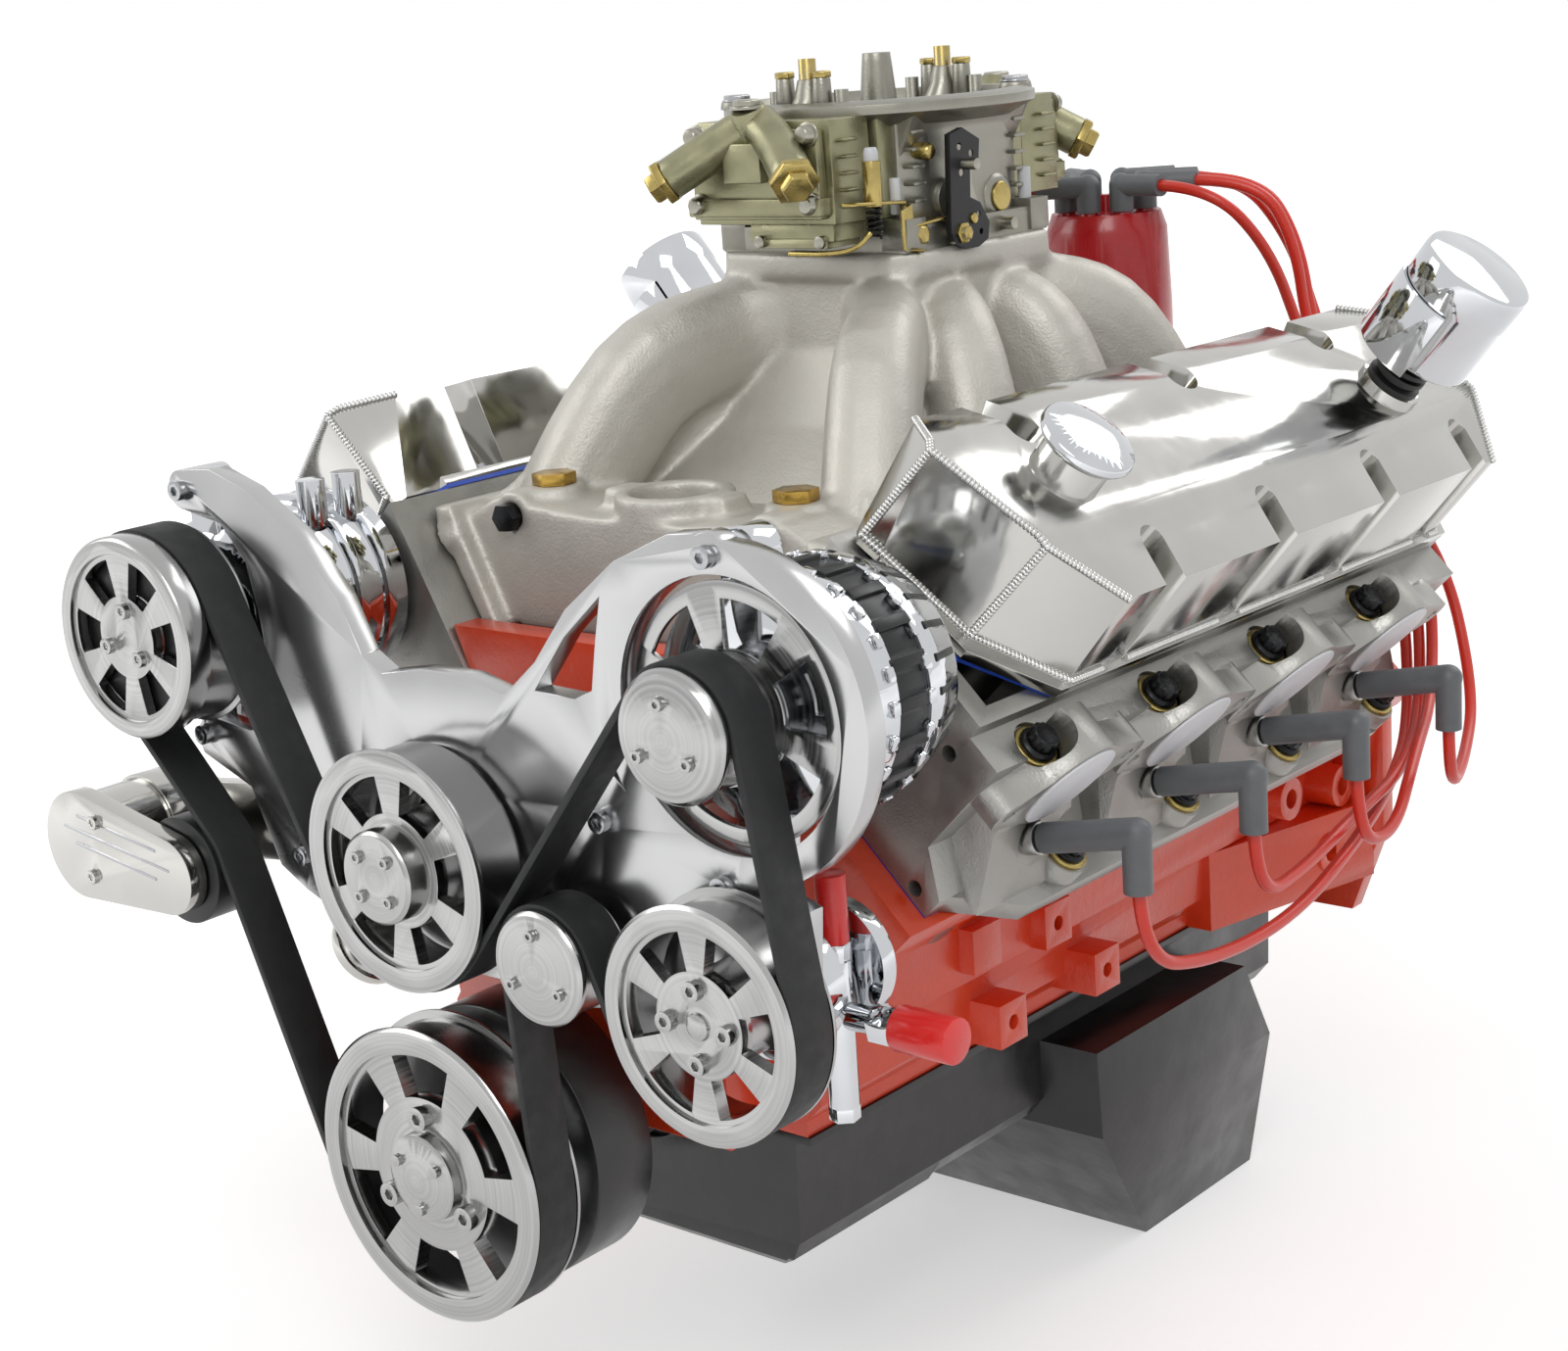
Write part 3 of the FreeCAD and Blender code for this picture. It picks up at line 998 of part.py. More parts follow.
def throttle_shafts():
    for y, name, lever in ((-BARREL_Y, "primary", True), (BARREL_Y, "secondary", False)):
        yc, zc = CARB_Y + y, FLANGE_Z + 8
        shaft = rod(4, (-84, yc, zc), (88 if lever else 82, yc, zc))
        plates = []
        for x in (-BARREL_X, BARREL_X):
            disc = rod(BORE_BUTTERFLY - 0.4, (x, yc, zc - 1), (x, yc, zc + 1))
            plates.append(disc)
        parts = [shaft] + plates
        if lever:
            arm = prism_x([(yc - 9, zc - 6), (yc + 12, zc - 8), (yc + 22, zc + 6), (yc + 12, zc + 30),
                           (yc + 14, zc + 52), (yc - 4, zc + 55), (yc - 10, zc + 24)], 80, 83.5)
            parts.append(arm)
            parts.append(rod(3.5, (83, yc + 4, zc + 42), (94, yc + 4, zc + 42)))
        else:
            parts.append(stadium_x((yc, zc), (yc - 14, zc - 2), 6, -83, -80))
        save("throttle_shaft_" + name, fuse(parts))


def stadium_x(a, b, r, x0, x1):
    ends = [rod(r, (x0, p[0], p[1]), (x1, p[0], p[1])) for p in (a, b)]
    dy, dz = b[0] - a[0], b[1] - a[1]
    length = math.hypot(dy, dz)
    ny, nz = -dz / length * r, dy / length * r
    bar = prism_x([(a[0] + ny, a[1] + nz), (b[0] + ny, b[1] + nz),
                   (b[0] - ny, b[1] - nz), (a[0] - ny, a[1] - nz)], x0, x1)
    return fuse(ends + [bar])


# Ignition
TOWER_RING_R = 30.0


def distributor():
    housing = turned_z([(0, 176), (DIST_SHANK_R, 176), (DIST_SHANK_R, DIST_PAD_Z), (27, DIST_PAD_Z),
                        (27, DIST_PAD_Z + 10), (21, DIST_PAD_Z + 10), (24, DIST_CAP_Z - 22),
                        (42, DIST_CAP_Z - 12), (42, DIST_CAP_Z), (36, DIST_CAP_Z), (36, DIST_CAP_Z - 8),
                        (8.06, DIST_CAP_Z - 8), (8.06, 190), (0, 190)], DIST_X, DIST_Y)
    clamp = fuse([box(DIST_X - 13, DIST_X + 13, DIST_Y - 46, DIST_Y - 22, DIST_PAD_Z + 10, DIST_PAD_Z + 15),
                  box(DIST_X - 9, DIST_X + 9, DIST_Y - 46, DIST_Y - 28, DIST_PAD_Z, DIST_PAD_Z + 12),
                  hex_head((DIST_X, DIST_Y - 36, DIST_PAD_Z + 15), (0, 0, 1), 14, 8)])
    save("distributor_housing", housing, clamp)
    top = DIST_CAP_Z + DIST_CAP_H
    shell = turned_z([(0, DIST_CAP_Z - 22), (DIST_CAP_R, DIST_CAP_Z - 22), (DIST_CAP_R, DIST_CAP_Z + 22),
                      (DIST_CAP_R - 2, top - 12), (DIST_CAP_R - 6, top), (0, top)], DIST_X, DIST_Y)
    inner = turned_z([(0, DIST_CAP_Z - 23), (42.2, DIST_CAP_Z - 23), (42.2, DIST_CAP_Z), (39, DIST_CAP_Z + 10),
                      (37, top - 18), (0, top - 8)], DIST_X, DIST_Y)
    parts = [shell.cut(inner)]
    for k in range(9):
        r = TOWER_RING_R if k < 8 else 0
        x, y = polar(r, 45 * k + 10)
        parts.append(rod(6.5, (DIST_X + x, DIST_Y + y, top - 1), (DIST_X + x, DIST_Y + y, top + 12)))
    parts.append(box(DIST_X - 12, DIST_X + 12, DIST_Y - DIST_CAP_R - 9, DIST_Y - DIST_CAP_R + 3,
                     DIST_CAP_Z - 6, DIST_CAP_Z + 40))
    save("distributor_cap", fuse(parts))
    rotor = [rod(8, (DIST_X, DIST_Y, 192), (DIST_X, DIST_Y, DIST_CAP_Z + 2)),
             rod(26, (DIST_X, DIST_Y, DIST_CAP_Z + 1), (DIST_X, DIST_Y, DIST_CAP_Z + 20)),
             box(DIST_X - 8, DIST_X + 8, DIST_Y - 30, DIST_Y, DIST_CAP_Z + 16, DIST_CAP_Z + 32),
             rod(8, (DIST_X, DIST_Y, DIST_CAP_Z + 18), (DIST_X, DIST_Y, DIST_CAP_Z + 44))]
    save("distributor_rotor", fuse(rotor))


CORD_TURN = 0.45


def cord(points, radius):
    # straight runs joined by tangent arcs, swept as a tube
    pts = [V(*p) for p in points]
    edges, last = [], pts[0]
    for k in range(1, len(pts) - 1):
        a, b, c = pts[k - 1], pts[k], pts[k + 1]
        d1, d2 = (b - a).normalize(), (c - b).normalize()
        reach = CORD_TURN * min((b - a).Length, (c - b).Length)
        bend = d1.getAngle(d2)
        r = reach / math.tan(bend / 2)
        start, end = b - d1 * reach, b + d2 * reach
        bis = (d2 - d1).normalize()
        mid = b + bis * (r / math.cos(bend / 2) - r)
        if (start - last).Length > 0.01:
            edges.append(Part.LineSegment(last, start).toShape())
        edges.append(Part.Arc(start, mid, end).toShape())
        last = end
    edges.append(Part.LineSegment(last, pts[-1]).toShape())
    path = Part.Wire(edges)
    length = path.Length
    first = (pts[1] - pts[0]).normalize()
    ring = Part.Wire(Part.Circle(pts[0], first, radius).toShape())
    tube = path.makePipeShell([ring], True, False)
    print("cord length %.0f mm, volume ratio %.3f"
          % (length, tube.Volume / (math.pi * radius ** 2 * length)))
    return tube


TOWERS = {1: [(325, 350), (10, 15), (55, 20), (100, 40)], -1: [(280, 215), (235, 190), (190, 170), (145, 145)]}
TOWER_BOOT = 38.0
TOWER_TOP = 490.0


def tower_boot(side, i):
    place, aim = TOWERS[side][i]
    x, y = polar(TOWER_RING_R, place)
    dx, dy = polar(1.0, aim)
    base = V(DIST_X + x, DIST_Y + y, TOWER_TOP)
    return base, V(dx, dy, 0)


def lead_points(side, i):
    port = BORE_Y[side][i] + side * PORT_OFFSET
    start = bank_point(1, BOOT_ELBOW[0] + BOOT_DROP - 8, BOOT_ELBOW[1] - BOOT_DROP + 8, 0)
    x0, z0 = start[0], start[2]
    s = 10.0 * i
    pts = [(x0, port, z0), (x0, port, z0 - 54)]
    if i == 0:
        pts += [(x0 - 2, port + 80, 80), (x0 - 6, port + 178, 76), (x0 - 17, port + 272, 92)]
    if i == 1:
        pts += [(x0 - 8, port + 72, 101), (x0 - 17, port + 154, 112)]
    if i == 2:
        pts += [(x0 - 6, port + 60, 92)]
    if i < 3:
        pts.append((278 + 0.8 * s, -140, 104 + s))
        pts.append((242 + 0.9 * s, -45, 120 + s))
    else:
        pts += [(296, -72, 104), (276, -16, 136)]
    back = -6 + 9.0 * i
    pts += [(216 + 0.6 * s, back + 2, 205 + 0.6 * s), (172, back, 292), (140, back, 380)]
    end, aim = tower_boot(side, i)
    tip = end + aim * (TOWER_BOOT - 8)
    out = end + aim * (TOWER_BOOT + 44)
    near = V(side * 140, back, 380)
    mid = (out + near) * 0.5 + V(side * 10, 0, 10)
    tail = [(mid.x, mid.y, mid.z), (out.x, out.y, out.z), (tip.x, tip.y, tip.z)]
    return [(side * x, y, z) for x, y, z in pts] + tail


def plug_leads(boots):
    number = 1
    for side in SIDES:
        for i in range(4):
            tube = cord(lead_points(side, i), LEAD_R)
            save("plug_lead_%d" % number, tube)
            number += 1
            base, aim = tower_boot(side, i)
            end = base + aim * TOWER_BOOT
            low = base - V(0, 0, TOWER_TOP - DIST_CAP_Z - DIST_CAP_H - 2)
            boot = fuse([Part.makeCylinder(8.5, base.z - low.z, low, V(0, 0, 1)), Part.makeSphere(8.5, base),
                         Part.makeCylinder(7.6, TOWER_BOOT, base, aim)])
            x, y = base.x, base.y
            hollow = rod(6.5 + HOLE_GAP, (x, y, low.z - 1), (x, y, DIST_CAP_Z + DIST_CAP_H + 12))
            tip = Part.makeCylinder(LEAD_R + HOLE_GAP, 9, end - aim * 8, aim)
            boots.append(boot.cut(hollow).cut(tip))
    save("lead_boots", *boots)


# Front drive
LAND = {"crank": CRANK_RIM_R - RIM_STEP, "steer": STEER_RIM_R - RIM_STEP, "comp": COMP_RIM_R - 3.4,
        "alt": ALT_CAP_R - 2.2, "pump": PUMP_FACE_R, "idler": IDLER_R - 2.2, "tens": TENS_R}
BELT_GAP = 0.3
RUN = [("crank", (0.0, 0.0), -1), ("tens", TENS_POS, 1), ("comp", COMP_POS, -1), ("pump", PUMP_POS, 1),
       ("alt", ALT_POS, -1), ("steer", STEER_POS, -1), ("idler", IDLER_POS, 1)]
WINDOW_COUNT = 6


def drive_belt():
    y0, y1 = BELT_Y - BELT_WIDTH / 2, BELT_Y + BELT_WIDTH / 2
    faces = []
    for inner in (True, False):
        circles = []
        for name, pos, sign in RUN:
            r = LAND[name] + BELT_GAP
            grow = (0 if inner else BELT_THICK) if sign < 0 else (BELT_THICK if inner else 0)
            circles.append((pos, r + grow, sign))
        faces.append(loop_solid(circles, y0, y1))
    save("drive_belt", faces[1].cut(faces[0]))


def windows(pos, r0, r1, y0, y1, phase=0.0, span=38.0, count=WINDOW_COUNT):
    pieces = []
    for k in range(count):
        mid = phase + 360.0 * k / count
        pieces.append(sector_y(pos, r0, r1, mid - span / 2, mid + span / 2, y0, y1))
    return pieces


def grooved(pos, front, land, rim, bore, rear=None):
    # a pulley's rim: two lips and the belt's land between, hollow inside
    rear = BELT_Y + PULLEY_WIDTH / 2 if rear is None else rear
    low, high = BELT_Y - BELT_WIDTH / 2 - 0.8, BELT_Y + BELT_WIDTH / 2 + 0.8
    return turned_y([(front, bore), (front, rim - 2), (front + 2, rim), (low, rim), (low, land), (high, land),
                     (high, rim), (rear, rim), (rear, bore)], pos)


def circle_of(make, pos, r, count, phase):
    pieces = []
    for k in range(count):
        x, z = polar(r, phase + 360.0 * k / count)
        pieces.append(make(pos[0] + x, pos[1] + z))
    return pieces


def crank_drive():
    pos = (0.0, 0.0)
    front = BELT_Y - 18
    rim = grooved(pos, front, LAND["crank"], CRANK_RIM_R, 74)
    web = turned_y([(front + 4, 16), (front + 4, 75), (front + 14, 75), (front + 14, 16)])
    hub = turned_y([(front + 10, 16), (front + 10, 40), (BALANCER_Y[0], 40), (BALANCER_Y[0], 16)])
    holes = windows(pos, 46, 71, front + 2, front + 16, 30)
    bolts = circle_of(lambda x, z: socket_screw((x, front + 4, z), (0, -1, 0), 9.5, 3), pos, 35.6, 3, 90)
    cone = turned_y([(front - 9, 0), (front - 3, 26), (front + 12, 27), (front + 12, 0)])
    small = circle_of(lambda x, z: rod(3.4, (x, front - 8, z), (x, front, z)), pos, 18, 3, 30)
    body = cut(fuse([rim, web, hub, cone]), holes)
    save("crank_pulley", fuse([body] + bolts + small))
    balancer = turned_y([(BALANCER_Y[0], SNOUT_R), (BALANCER_Y[0], 66), (BALANCER_Y[0] + 4, BALANCER_R),
                         (BALANCER_Y[1], BALANCER_R), (BALANCER_Y[1], 70), (BALANCER_Y[1] - 22, 64),
                         (BALANCER_Y[1] - 22, 34), (BALANCER_Y[1] + 8, 32), (BALANCER_Y[1] + 8, BALANCER_HUB_R),
                         (CHAIN_Y - 14, BALANCER_HUB_R), (CHAIN_Y - 14, SNOUT_R)])
    save("harmonic_balancer", balancer)


def pump_drive():
    front = BELT_Y - 18.5
    rear = BRACKET_Y - 2
    rim = turned_y([(front, 57), (front, PUMP_RIM_R), (front + 3.5, PUMP_RIM_R), (front + 3.5, LAND["pump"]),
                    (BELT_Y + 16, LAND["pump"]), (BELT_Y + 16, 62), (rear, 62), (rear, 58), (front + 12, 60), (front + 12, 57)], PUMP_POS)
    web = turned_y([(front + 3, 0), (front + 3, 58), (front + 11, 58), (front + 11, 0)], PUMP_POS)
    hub = turned_y([(front - 13, 0), (front - 13, 25), (front - 11, 27), (front + 4, 27), (front + 4, 0)], PUMP_POS)
    nose = turned_y([(front + 10, 0), (front + 10, 30), (rear + 1, 30), (rear + 1, PUMP_SHAFT_R),
                     (PUMP_SHAFT_END, PUMP_SHAFT_R), (PUMP_SHAFT_END, 0)], PUMP_POS)
    impeller = rod(34, (PUMP_POS[0], PUMP_SHAFT_END - 12, PUMP_POS[1]),
                   (PUMP_POS[0], PUMP_SHAFT_END, PUMP_POS[1]))
    screws = circle_of(lambda x, z: socket_screw((x, front - 13, z), (0, -1, 0), 5, 4), PUMP_POS, 16, 4, 45)
    body = cut(fuse([rim, web, hub, nose, impeller]), windows(PUMP_POS, 33, 54, front + 1, front + 12, 0))
    save("water_pump_pulley", fuse([body] + screws))


PUMP_SHAFT_R = 9.0
PUMP_SHAFT_END = -655.0
PUMP_BODY = (-706.0, -640.0)


def water_pump_housing():
    x, z = PUMP_POS
    volute = rod(52, (x, PUMP_BODY[0], z), (x, PUMP_BODY[1], z))
    inlet = rod(24, (x - 40, -680, z - 34), (x - 128, -680, z - 92))
    lip = rod(26, (x - 122, -680, z - 88), (x - 128, -680, z - 92))
    legs, holes = [], []
    for side in SIDES:
        leg = box(min(side * 30, side * (LEG_X + 13)), max(side * 30, side * (LEG_X + 13)),
                  -700, -660, LEG_Z - 36, LEG_Z + 36)
        foot = box(min(side * (LEG_X - 13), side * (LEG_X + 13)), max(side * (LEG_X - 13), side * (LEG_X + 13)),
                   -680, BLOCK_FRONT, LEG_Z - 38, LEG_Z + 38)
        legs.extend([leg, foot])
        holes.append(rod(11, (side * LEG_X, -640, LEG_Z), (side * LEG_X, BLOCK_FRONT + 1, LEG_Z)))
    cavity = turned_y([(PUMP_SHAFT_END - 14, 0), (PUMP_SHAFT_END - 14, 38), (PUMP_BODY[1] - 6, 38),
                       (PUMP_BODY[1] - 6, 0)], PUMP_POS)
    bore = rod(PUMP_SHAFT_R + BEARING_GAP, (x, PUMP_BODY[0] - 1, z), (x, PUMP_SHAFT_END, z))
    bored = rod(19, (x - 44, -680, z - 37), (x - 130, -680, z - 93.4))
    save("water_pump_housing", cut(fuse([volute, inlet, lip] + legs), [cavity, bore, bored] + holes))


# posts of the bracket: x, z, radius, rear end
POSTS = [(125.0, 219.0, 13.0), (-126.0, 160.0, 12.0)]


def bracket_outline():
    left = [(-203, 387), (-215, 375), (-203, 363), (-170, 357), (-150, 335), (-143, 300), (-140, 268),
            (-128, 240), (-165, 232), (-206, 237), (-218, 225), (-212, 212), (-170, 196), (-150, 150),
            (-128, 138), (-60, 112)]
    middle = [(60, 112), (110, 112), (150, 120), (196, 106), (240, 112), (258, 140), (262, 190)]
    ring = [(ALT_POS[0] + polar(90, a)[0], ALT_POS[1] + polar(90, a)[1]) for a in range(-62, -330, -12)]
    return left, middle, ring


def accessory_bracket():
    y0, y1 = BRACKET_Y, BRACKET_Y + BRACKET_THICK
    left, middle, ring = bracket_outline()
    low = prism_y(left + middle + [(222, 205), (180, 215), (150, 232), (120, 258), (84, 272), (57, 280),
                                   (29, 287), (-6, 287), (-40, 281), (-56, 290), (-71, 321), (-103, 355),
                                   (-143, 379), (-175, 389)], y0, y1)
    arm = prism_y([(56, 278), (84, 301), (110, 332), (148, 361), (187, 378), (205, 380), (224, 369),
                   (213, 357), (192, 358), (166, 345), (150, 320), (140, 290), (128, 240), (70, 240)], y0, y1)
    disc = rod(90, (ALT_POS[0], y0, ALT_POS[1]), (ALT_POS[0], y1, ALT_POS[1]))
    fan = rod(FAN_R + 4, (ALT_POS[0], y0 - 1, ALT_POS[1]), (ALT_POS[0], y1 + 1, ALT_POS[1]))
    tip = [rod(12, (x, y0, z), (x, y1, z)) for x, z in ((-203, 375), (213, 369))]
    slot = prism_y([(82, 285), (108, 317), (136, 341), (131, 320), (125, 290), (112, 284)], y0 - 1, y1 + 1)
    base = fuse([low, arm, disc] + tip)
    holes = [fan, slot, rod(40, (PUMP_POS[0], y0 - 1, PUMP_POS[1]), (PUMP_POS[0], y1 + 1, PUMP_POS[1])),
             rod(IDLER_STUD_R + BEARING_GAP, (IDLER_POS[0], y0 - 1, IDLER_POS[1]),
                 (IDLER_POS[0], y1 + 1, IDLER_POS[1])),
             rod(STEER_SHAFT_R + BEARING_GAP, (STEER_POS[0], y0 - 1, STEER_POS[1]),
                 (STEER_POS[0], y1 + 1, STEER_POS[1]))]
    posts = [rod(r, (x, y1 - 1, z), (x, BLOCK_FRONT, z)) for x, z, r in POSTS]
    bolts = [rod(BRACKET_BOLT / 2 + HOLE_GAP, (x, y0 - 1, z), (x, y0 + 7, z)) for x, z in BRACKET_BOLTS]
    save("accessory_bracket", cut(fuse([cut(base, holes)] + posts), bolts))


IDLER_STUD_R = 6.0
STEER_SHAFT_R = 8.5
BRACKET_BOLT = 8.0
BRACKET_BOLTS = [(-203, 375), (213, 369), (125, 219), (209, 196), (-71, 171.5), (-206, 225), (-126, 160)]


def bracket_bolts():
    pieces = []
    for x, z in BRACKET_BOLTS:
        pieces.append(socket_screw((x, BRACKET_Y, z), (0, -1, 0), BRACKET_BOLT, 6))
    base = RAIL_H + GASKET + 7
    for side in SIDES:
        for y, v, h in [(y, -2, base) for y in OUTER_SLOTS] + [(y, v - 1, base) for y, v in INNER_SLOTS]:
            screw = fuse([rod(6.5, (v, (y - HEAD_CENTRE) * side, h), (v, (y - HEAD_CENTRE) * side, h + 6)),
                          rod(9, (v, (y - HEAD_CENTRE) * side, h), (v, (y - HEAD_CENTRE) * side, h + 1.5))])
            pieces.append(to_bank(screw, side))
    save("bracket_bolts", *pieces)


def alternator():
    x, z = ALT_POS
    front = ALT_Y[0]
    case = turned_y([(front, ALT_SHAFT_R + BEARING_GAP), (front, 40), (front + 4, 66), (ALT_Y[1], 68),
                     (ALT_Y[1], 60), (front + 12, 56), (front + 12, ALT_SHAFT_R + BEARING_GAP)], ALT_POS)
    rear = turned_y([(ALT_Y[2], 60), (ALT_Y[2], 68), (ALT_Y[2] + 12, 67), (ALT_Y[3] - 6, 58), (ALT_Y[3], 46),
                     (ALT_Y[3], ALT_SHAFT_R + BEARING_GAP), (ALT_Y[3] - 8, ALT_SHAFT_R + BEARING_GAP),
                     (ALT_Y[3] - 8, 52), (ALT_Y[2] + 8, 60)], ALT_POS)
    ears = []
    for ex, ez in ((212, 366), (209, 196)):
        ears.append(stadium_y((ex, ez), (x + (ex - x) * 0.7, z + (ez - z) * 0.7), 13, front + 4, front + 24))
        ears.append(rod(11, (ex, BRACKET_Y + BRACKET_THICK, ez), (ex, front + 6, ez)))
    hollow = rod(55.9, (x, front + 12, z), (x, ALT_Y[1] + 1, z))
    case = fuse([case] + ears).cut(hollow)
    post = rod(6, (x + 20, ALT_Y[3] - 1, z + 24), (x + 20, ALT_Y[3] + 14, z + 24))
    rear = fuse([rear, post])
    save("alternator_case", case, rear)
    stator = turned_y([(ALT_Y[1], 57), (ALT_Y[1], 66), (ALT_Y[2], 66), (ALT_Y[2], 57)], ALT_POS)
    fins = []
    for k in range(20):
        fin = box(62, 69, ALT_Y[1], ALT_Y[2], -3.4, 3.4)
        fin.rotate(V(0, 0, 0), V(0, 1, 0), 18 * k)
        fins.append(fin.translated(V(x, 0, z)))
    save("alternator_stator", fuse([stator] + fins))
    cap_front = BELT_Y - 22
    land = LAND["alt"]
    cap = turned_y([(cap_front - 4, 0), (cap_front - 3, 20), (cap_front, ALT_CAP_R - 3), (cap_front + 4, ALT_CAP_R),
                    (BELT_Y - 15.2, ALT_CAP_R), (BELT_Y - 15.2, land), (BELT_Y + 15.2, land),
                    (BELT_Y + 15.2, ALT_CAP_R - 1), (BELT_Y + 17, ALT_CAP_R - 1), (BELT_Y + 17, 24),
                    (-718, 24), (-718, 40), (-716, FAN_R), (-713, FAN_R), (-714, 30), (-708, 18),
                    (front - 1, 16), (front - 1, ALT_SHAFT_R), (ALT_Y[3] - 4, ALT_SHAFT_R), (ALT_Y[3] - 4, 0)],
                   ALT_POS)
    rotor = turned_y([(ALT_Y[1] - 8, 0), (ALT_Y[1] - 8, 50), (ALT_Y[2] + 6, 50), (ALT_Y[2] + 6, 0)], ALT_POS)
    screws = circle_of(lambda sx, sz: socket_screw((sx, cap_front - 3, sz), (0, -1, 0), 5, 3), ALT_POS, 19, 3, 90)
    body = cut(fuse([cap, rotor]), windows(ALT_POS, 34, 60, -722, -710, 15))
    save("alternator_pulley", fuse([body] + screws))


ALT_Y = (-702.0, -668.0, -642.0, -600.0)
ALT_SHAFT_R = 8.5


def steering():
    x, z = STEER_POS
    front = BELT_Y - 17
    rim = grooved(STEER_POS, front, LAND["steer"], STEER_RIM_R, 53)
    web = turned_y([(front + 3, 0), (front + 3, 54), (front + 11, 54), (front + 11, 0)], STEER_POS)
    hub = turned_y([(front + 10, 0), (front + 10, 26), (BRACKET_Y - 2, 26), (BRACKET_Y - 2, STEER_SHAFT_R),
                    (-690, STEER_SHAFT_R), (-690, 0)], STEER_POS)
    nub = turned_y([(front - 1, 0), (front + 1, 7), (front + 4, 8), (front + 4, 0)], STEER_POS)
    bolts = circle_of(lambda a, b: socket_screw((a, front + 3, b), (0, -1, 0), 7.5, 4), STEER_POS, 20, 4, 90)
    body = cut(fuse([rim, web, hub, nub]), windows(STEER_POS, 29, 50, front + 1, front + 12, 0))
    save("steering_pulley", fuse([body] + bolts))
    y0 = BRACKET_Y + BRACKET_THICK
    pump = turned_y([(y0, STEER_SHAFT_R + BEARING_GAP), (y0, 36), (-684, 36), (-680, 30), (-680, 7.5), (-651, 7.5),
                     (-651, 34), (-640, 34), (-636, 30), (-636, 0), (-688, 0),
                     (-688, STEER_SHAFT_R + BEARING_GAP)], STEER_POS)
    column = rod(8.5, (PORT_X, PORT_Y, 60), (PORT_X, PORT_Y, 142))
    save("steering_pump", fuse([pump, column]))
    up = [hex_head((PORT_X, PORT_Y, 142), (0, 0, 1), 16, 10), rod(6, (PORT_X, PORT_Y, 151), (PORT_X, PORT_Y, 166))]
    out = [rod(7.5, (PORT_X + 9, PORT_Y, 112), (PORT_X + 26, PORT_Y, 112)),
           hex_head((PORT_X + 26, PORT_Y, 112), (1, 0, 0), 20, 15),
           rod(9, (PORT_X + 40, PORT_Y, 112), (PORT_X + 55, PORT_Y, 112))]
    save("pump_fittings", fuse(up), fuse(out), hex_head((PORT_X, PORT_Y, 52), (0, 0, 1), 15, 8))
    small = rod(8.4, (PORT_X, PORT_Y, 152), (PORT_X, PORT_Y, 190)).cut(
        rod(6 + HOLE_GAP, (PORT_X, PORT_Y, 150), (PORT_X, PORT_Y, 166)))
    big = rod(12.5, (PORT_X + 41, PORT_Y, 112), (PORT_X + 78, PORT_Y, 112)).cut(
        rod(9 + HOLE_GAP, (PORT_X + 40, PORT_Y, 112), (PORT_X + 55, PORT_Y, 112)))
    save("fitting_caps", small, big)


PORT_X, PORT_Y = 231.0, -665.0


def compressor():
    x, z = COMP_POS
    front = BELT_Y - 32
    rim = grooved(COMP_POS, front, LAND["comp"], COMP_RIM_R, 50)
    web = turned_y([(front + 3, 0), (front + 3, 51), (front + 10, 51), (front + 10, 0)], COMP_POS)
    hub = turned_y([(front + 9, 0), (front + 9, 22), (BELT_Y + 15, 22), (BELT_Y + 15, COMP_SHAFT_R),
                    (-690, COMP_SHAFT_R), (-690, 0)], COMP_POS)
    bolts = circle_of(lambda a, b: socket_screw((a, front + 3, b), (0, -1, 0), 6.5, 4), COMP_POS, 17, 3, 80)
    body = cut(fuse([rim, web, hub]), windows(COMP_POS, 25, 47, front + 1, front + 11, 0, 34))
    save("compressor_clutch", fuse([body] + bolts))
    body = turned_y([(-712, COMP_SHAFT_R + BEARING_GAP), (-712, 44), (-704, 58), (-606, 58), (-598, 50),
                     (-598, 0), (-688, 0), (-688, COMP_SHAFT_R + BEARING_GAP)], COMP_POS)
    ribs = [turned_y([(y, 50), (y, 62), (y + 6, 62), (y + 6, 50)], COMP_POS) for y in (-690, -668, -646, -624)]
    ears = [stadium_y((ex, ez), (x + (ex - x) * 0.4, z + (ez - z) * 0.4), 12, BRACKET_Y + BRACKET_THICK, -690)
            for ex, ez in ((-203, 375), (-206, 225))]
    ports = [rod(9, (x + 30, y, z + 46), (x + 30, y, z + 74)) for y in (-650, -622)]
    save("compressor_body", fuse([body] + ribs + ears + ports))


COMP_SHAFT_R = 8.0


def idler():
    x, z = IDLER_POS
    front = BELT_Y - 20
    land = LAND["idler"]
    wheel = turned_y([(front - 3, 0), (front, IDLER_R - 2), (front + 2, IDLER_R), (BELT_Y - 15.2, IDLER_R),
                      (BELT_Y - 15.2, land), (BELT_Y + 15.2, land), (BELT_Y + 15.2, IDLER_R),
                      (BELT_Y + 17, IDLER_R), (BELT_Y + 17, 14), (BRACKET_Y - 1, 14), (BRACKET_Y - 1, IDLER_STUD_R),
                      (BRACKET_Y + BRACKET_THICK - 1, IDLER_STUD_R), (BRACKET_Y + BRACKET_THICK - 1, 0)], IDLER_POS)
    screws = circle_of(lambda a, b: socket_screw((a, front - 1, b), (0, -1, 0), 4.5, 3), IDLER_POS, 20, 3, 90)
    save("idler_pulley", fuse([wheel] + screws))


TENS_BACK = BRACKET_Y + BRACKET_THICK


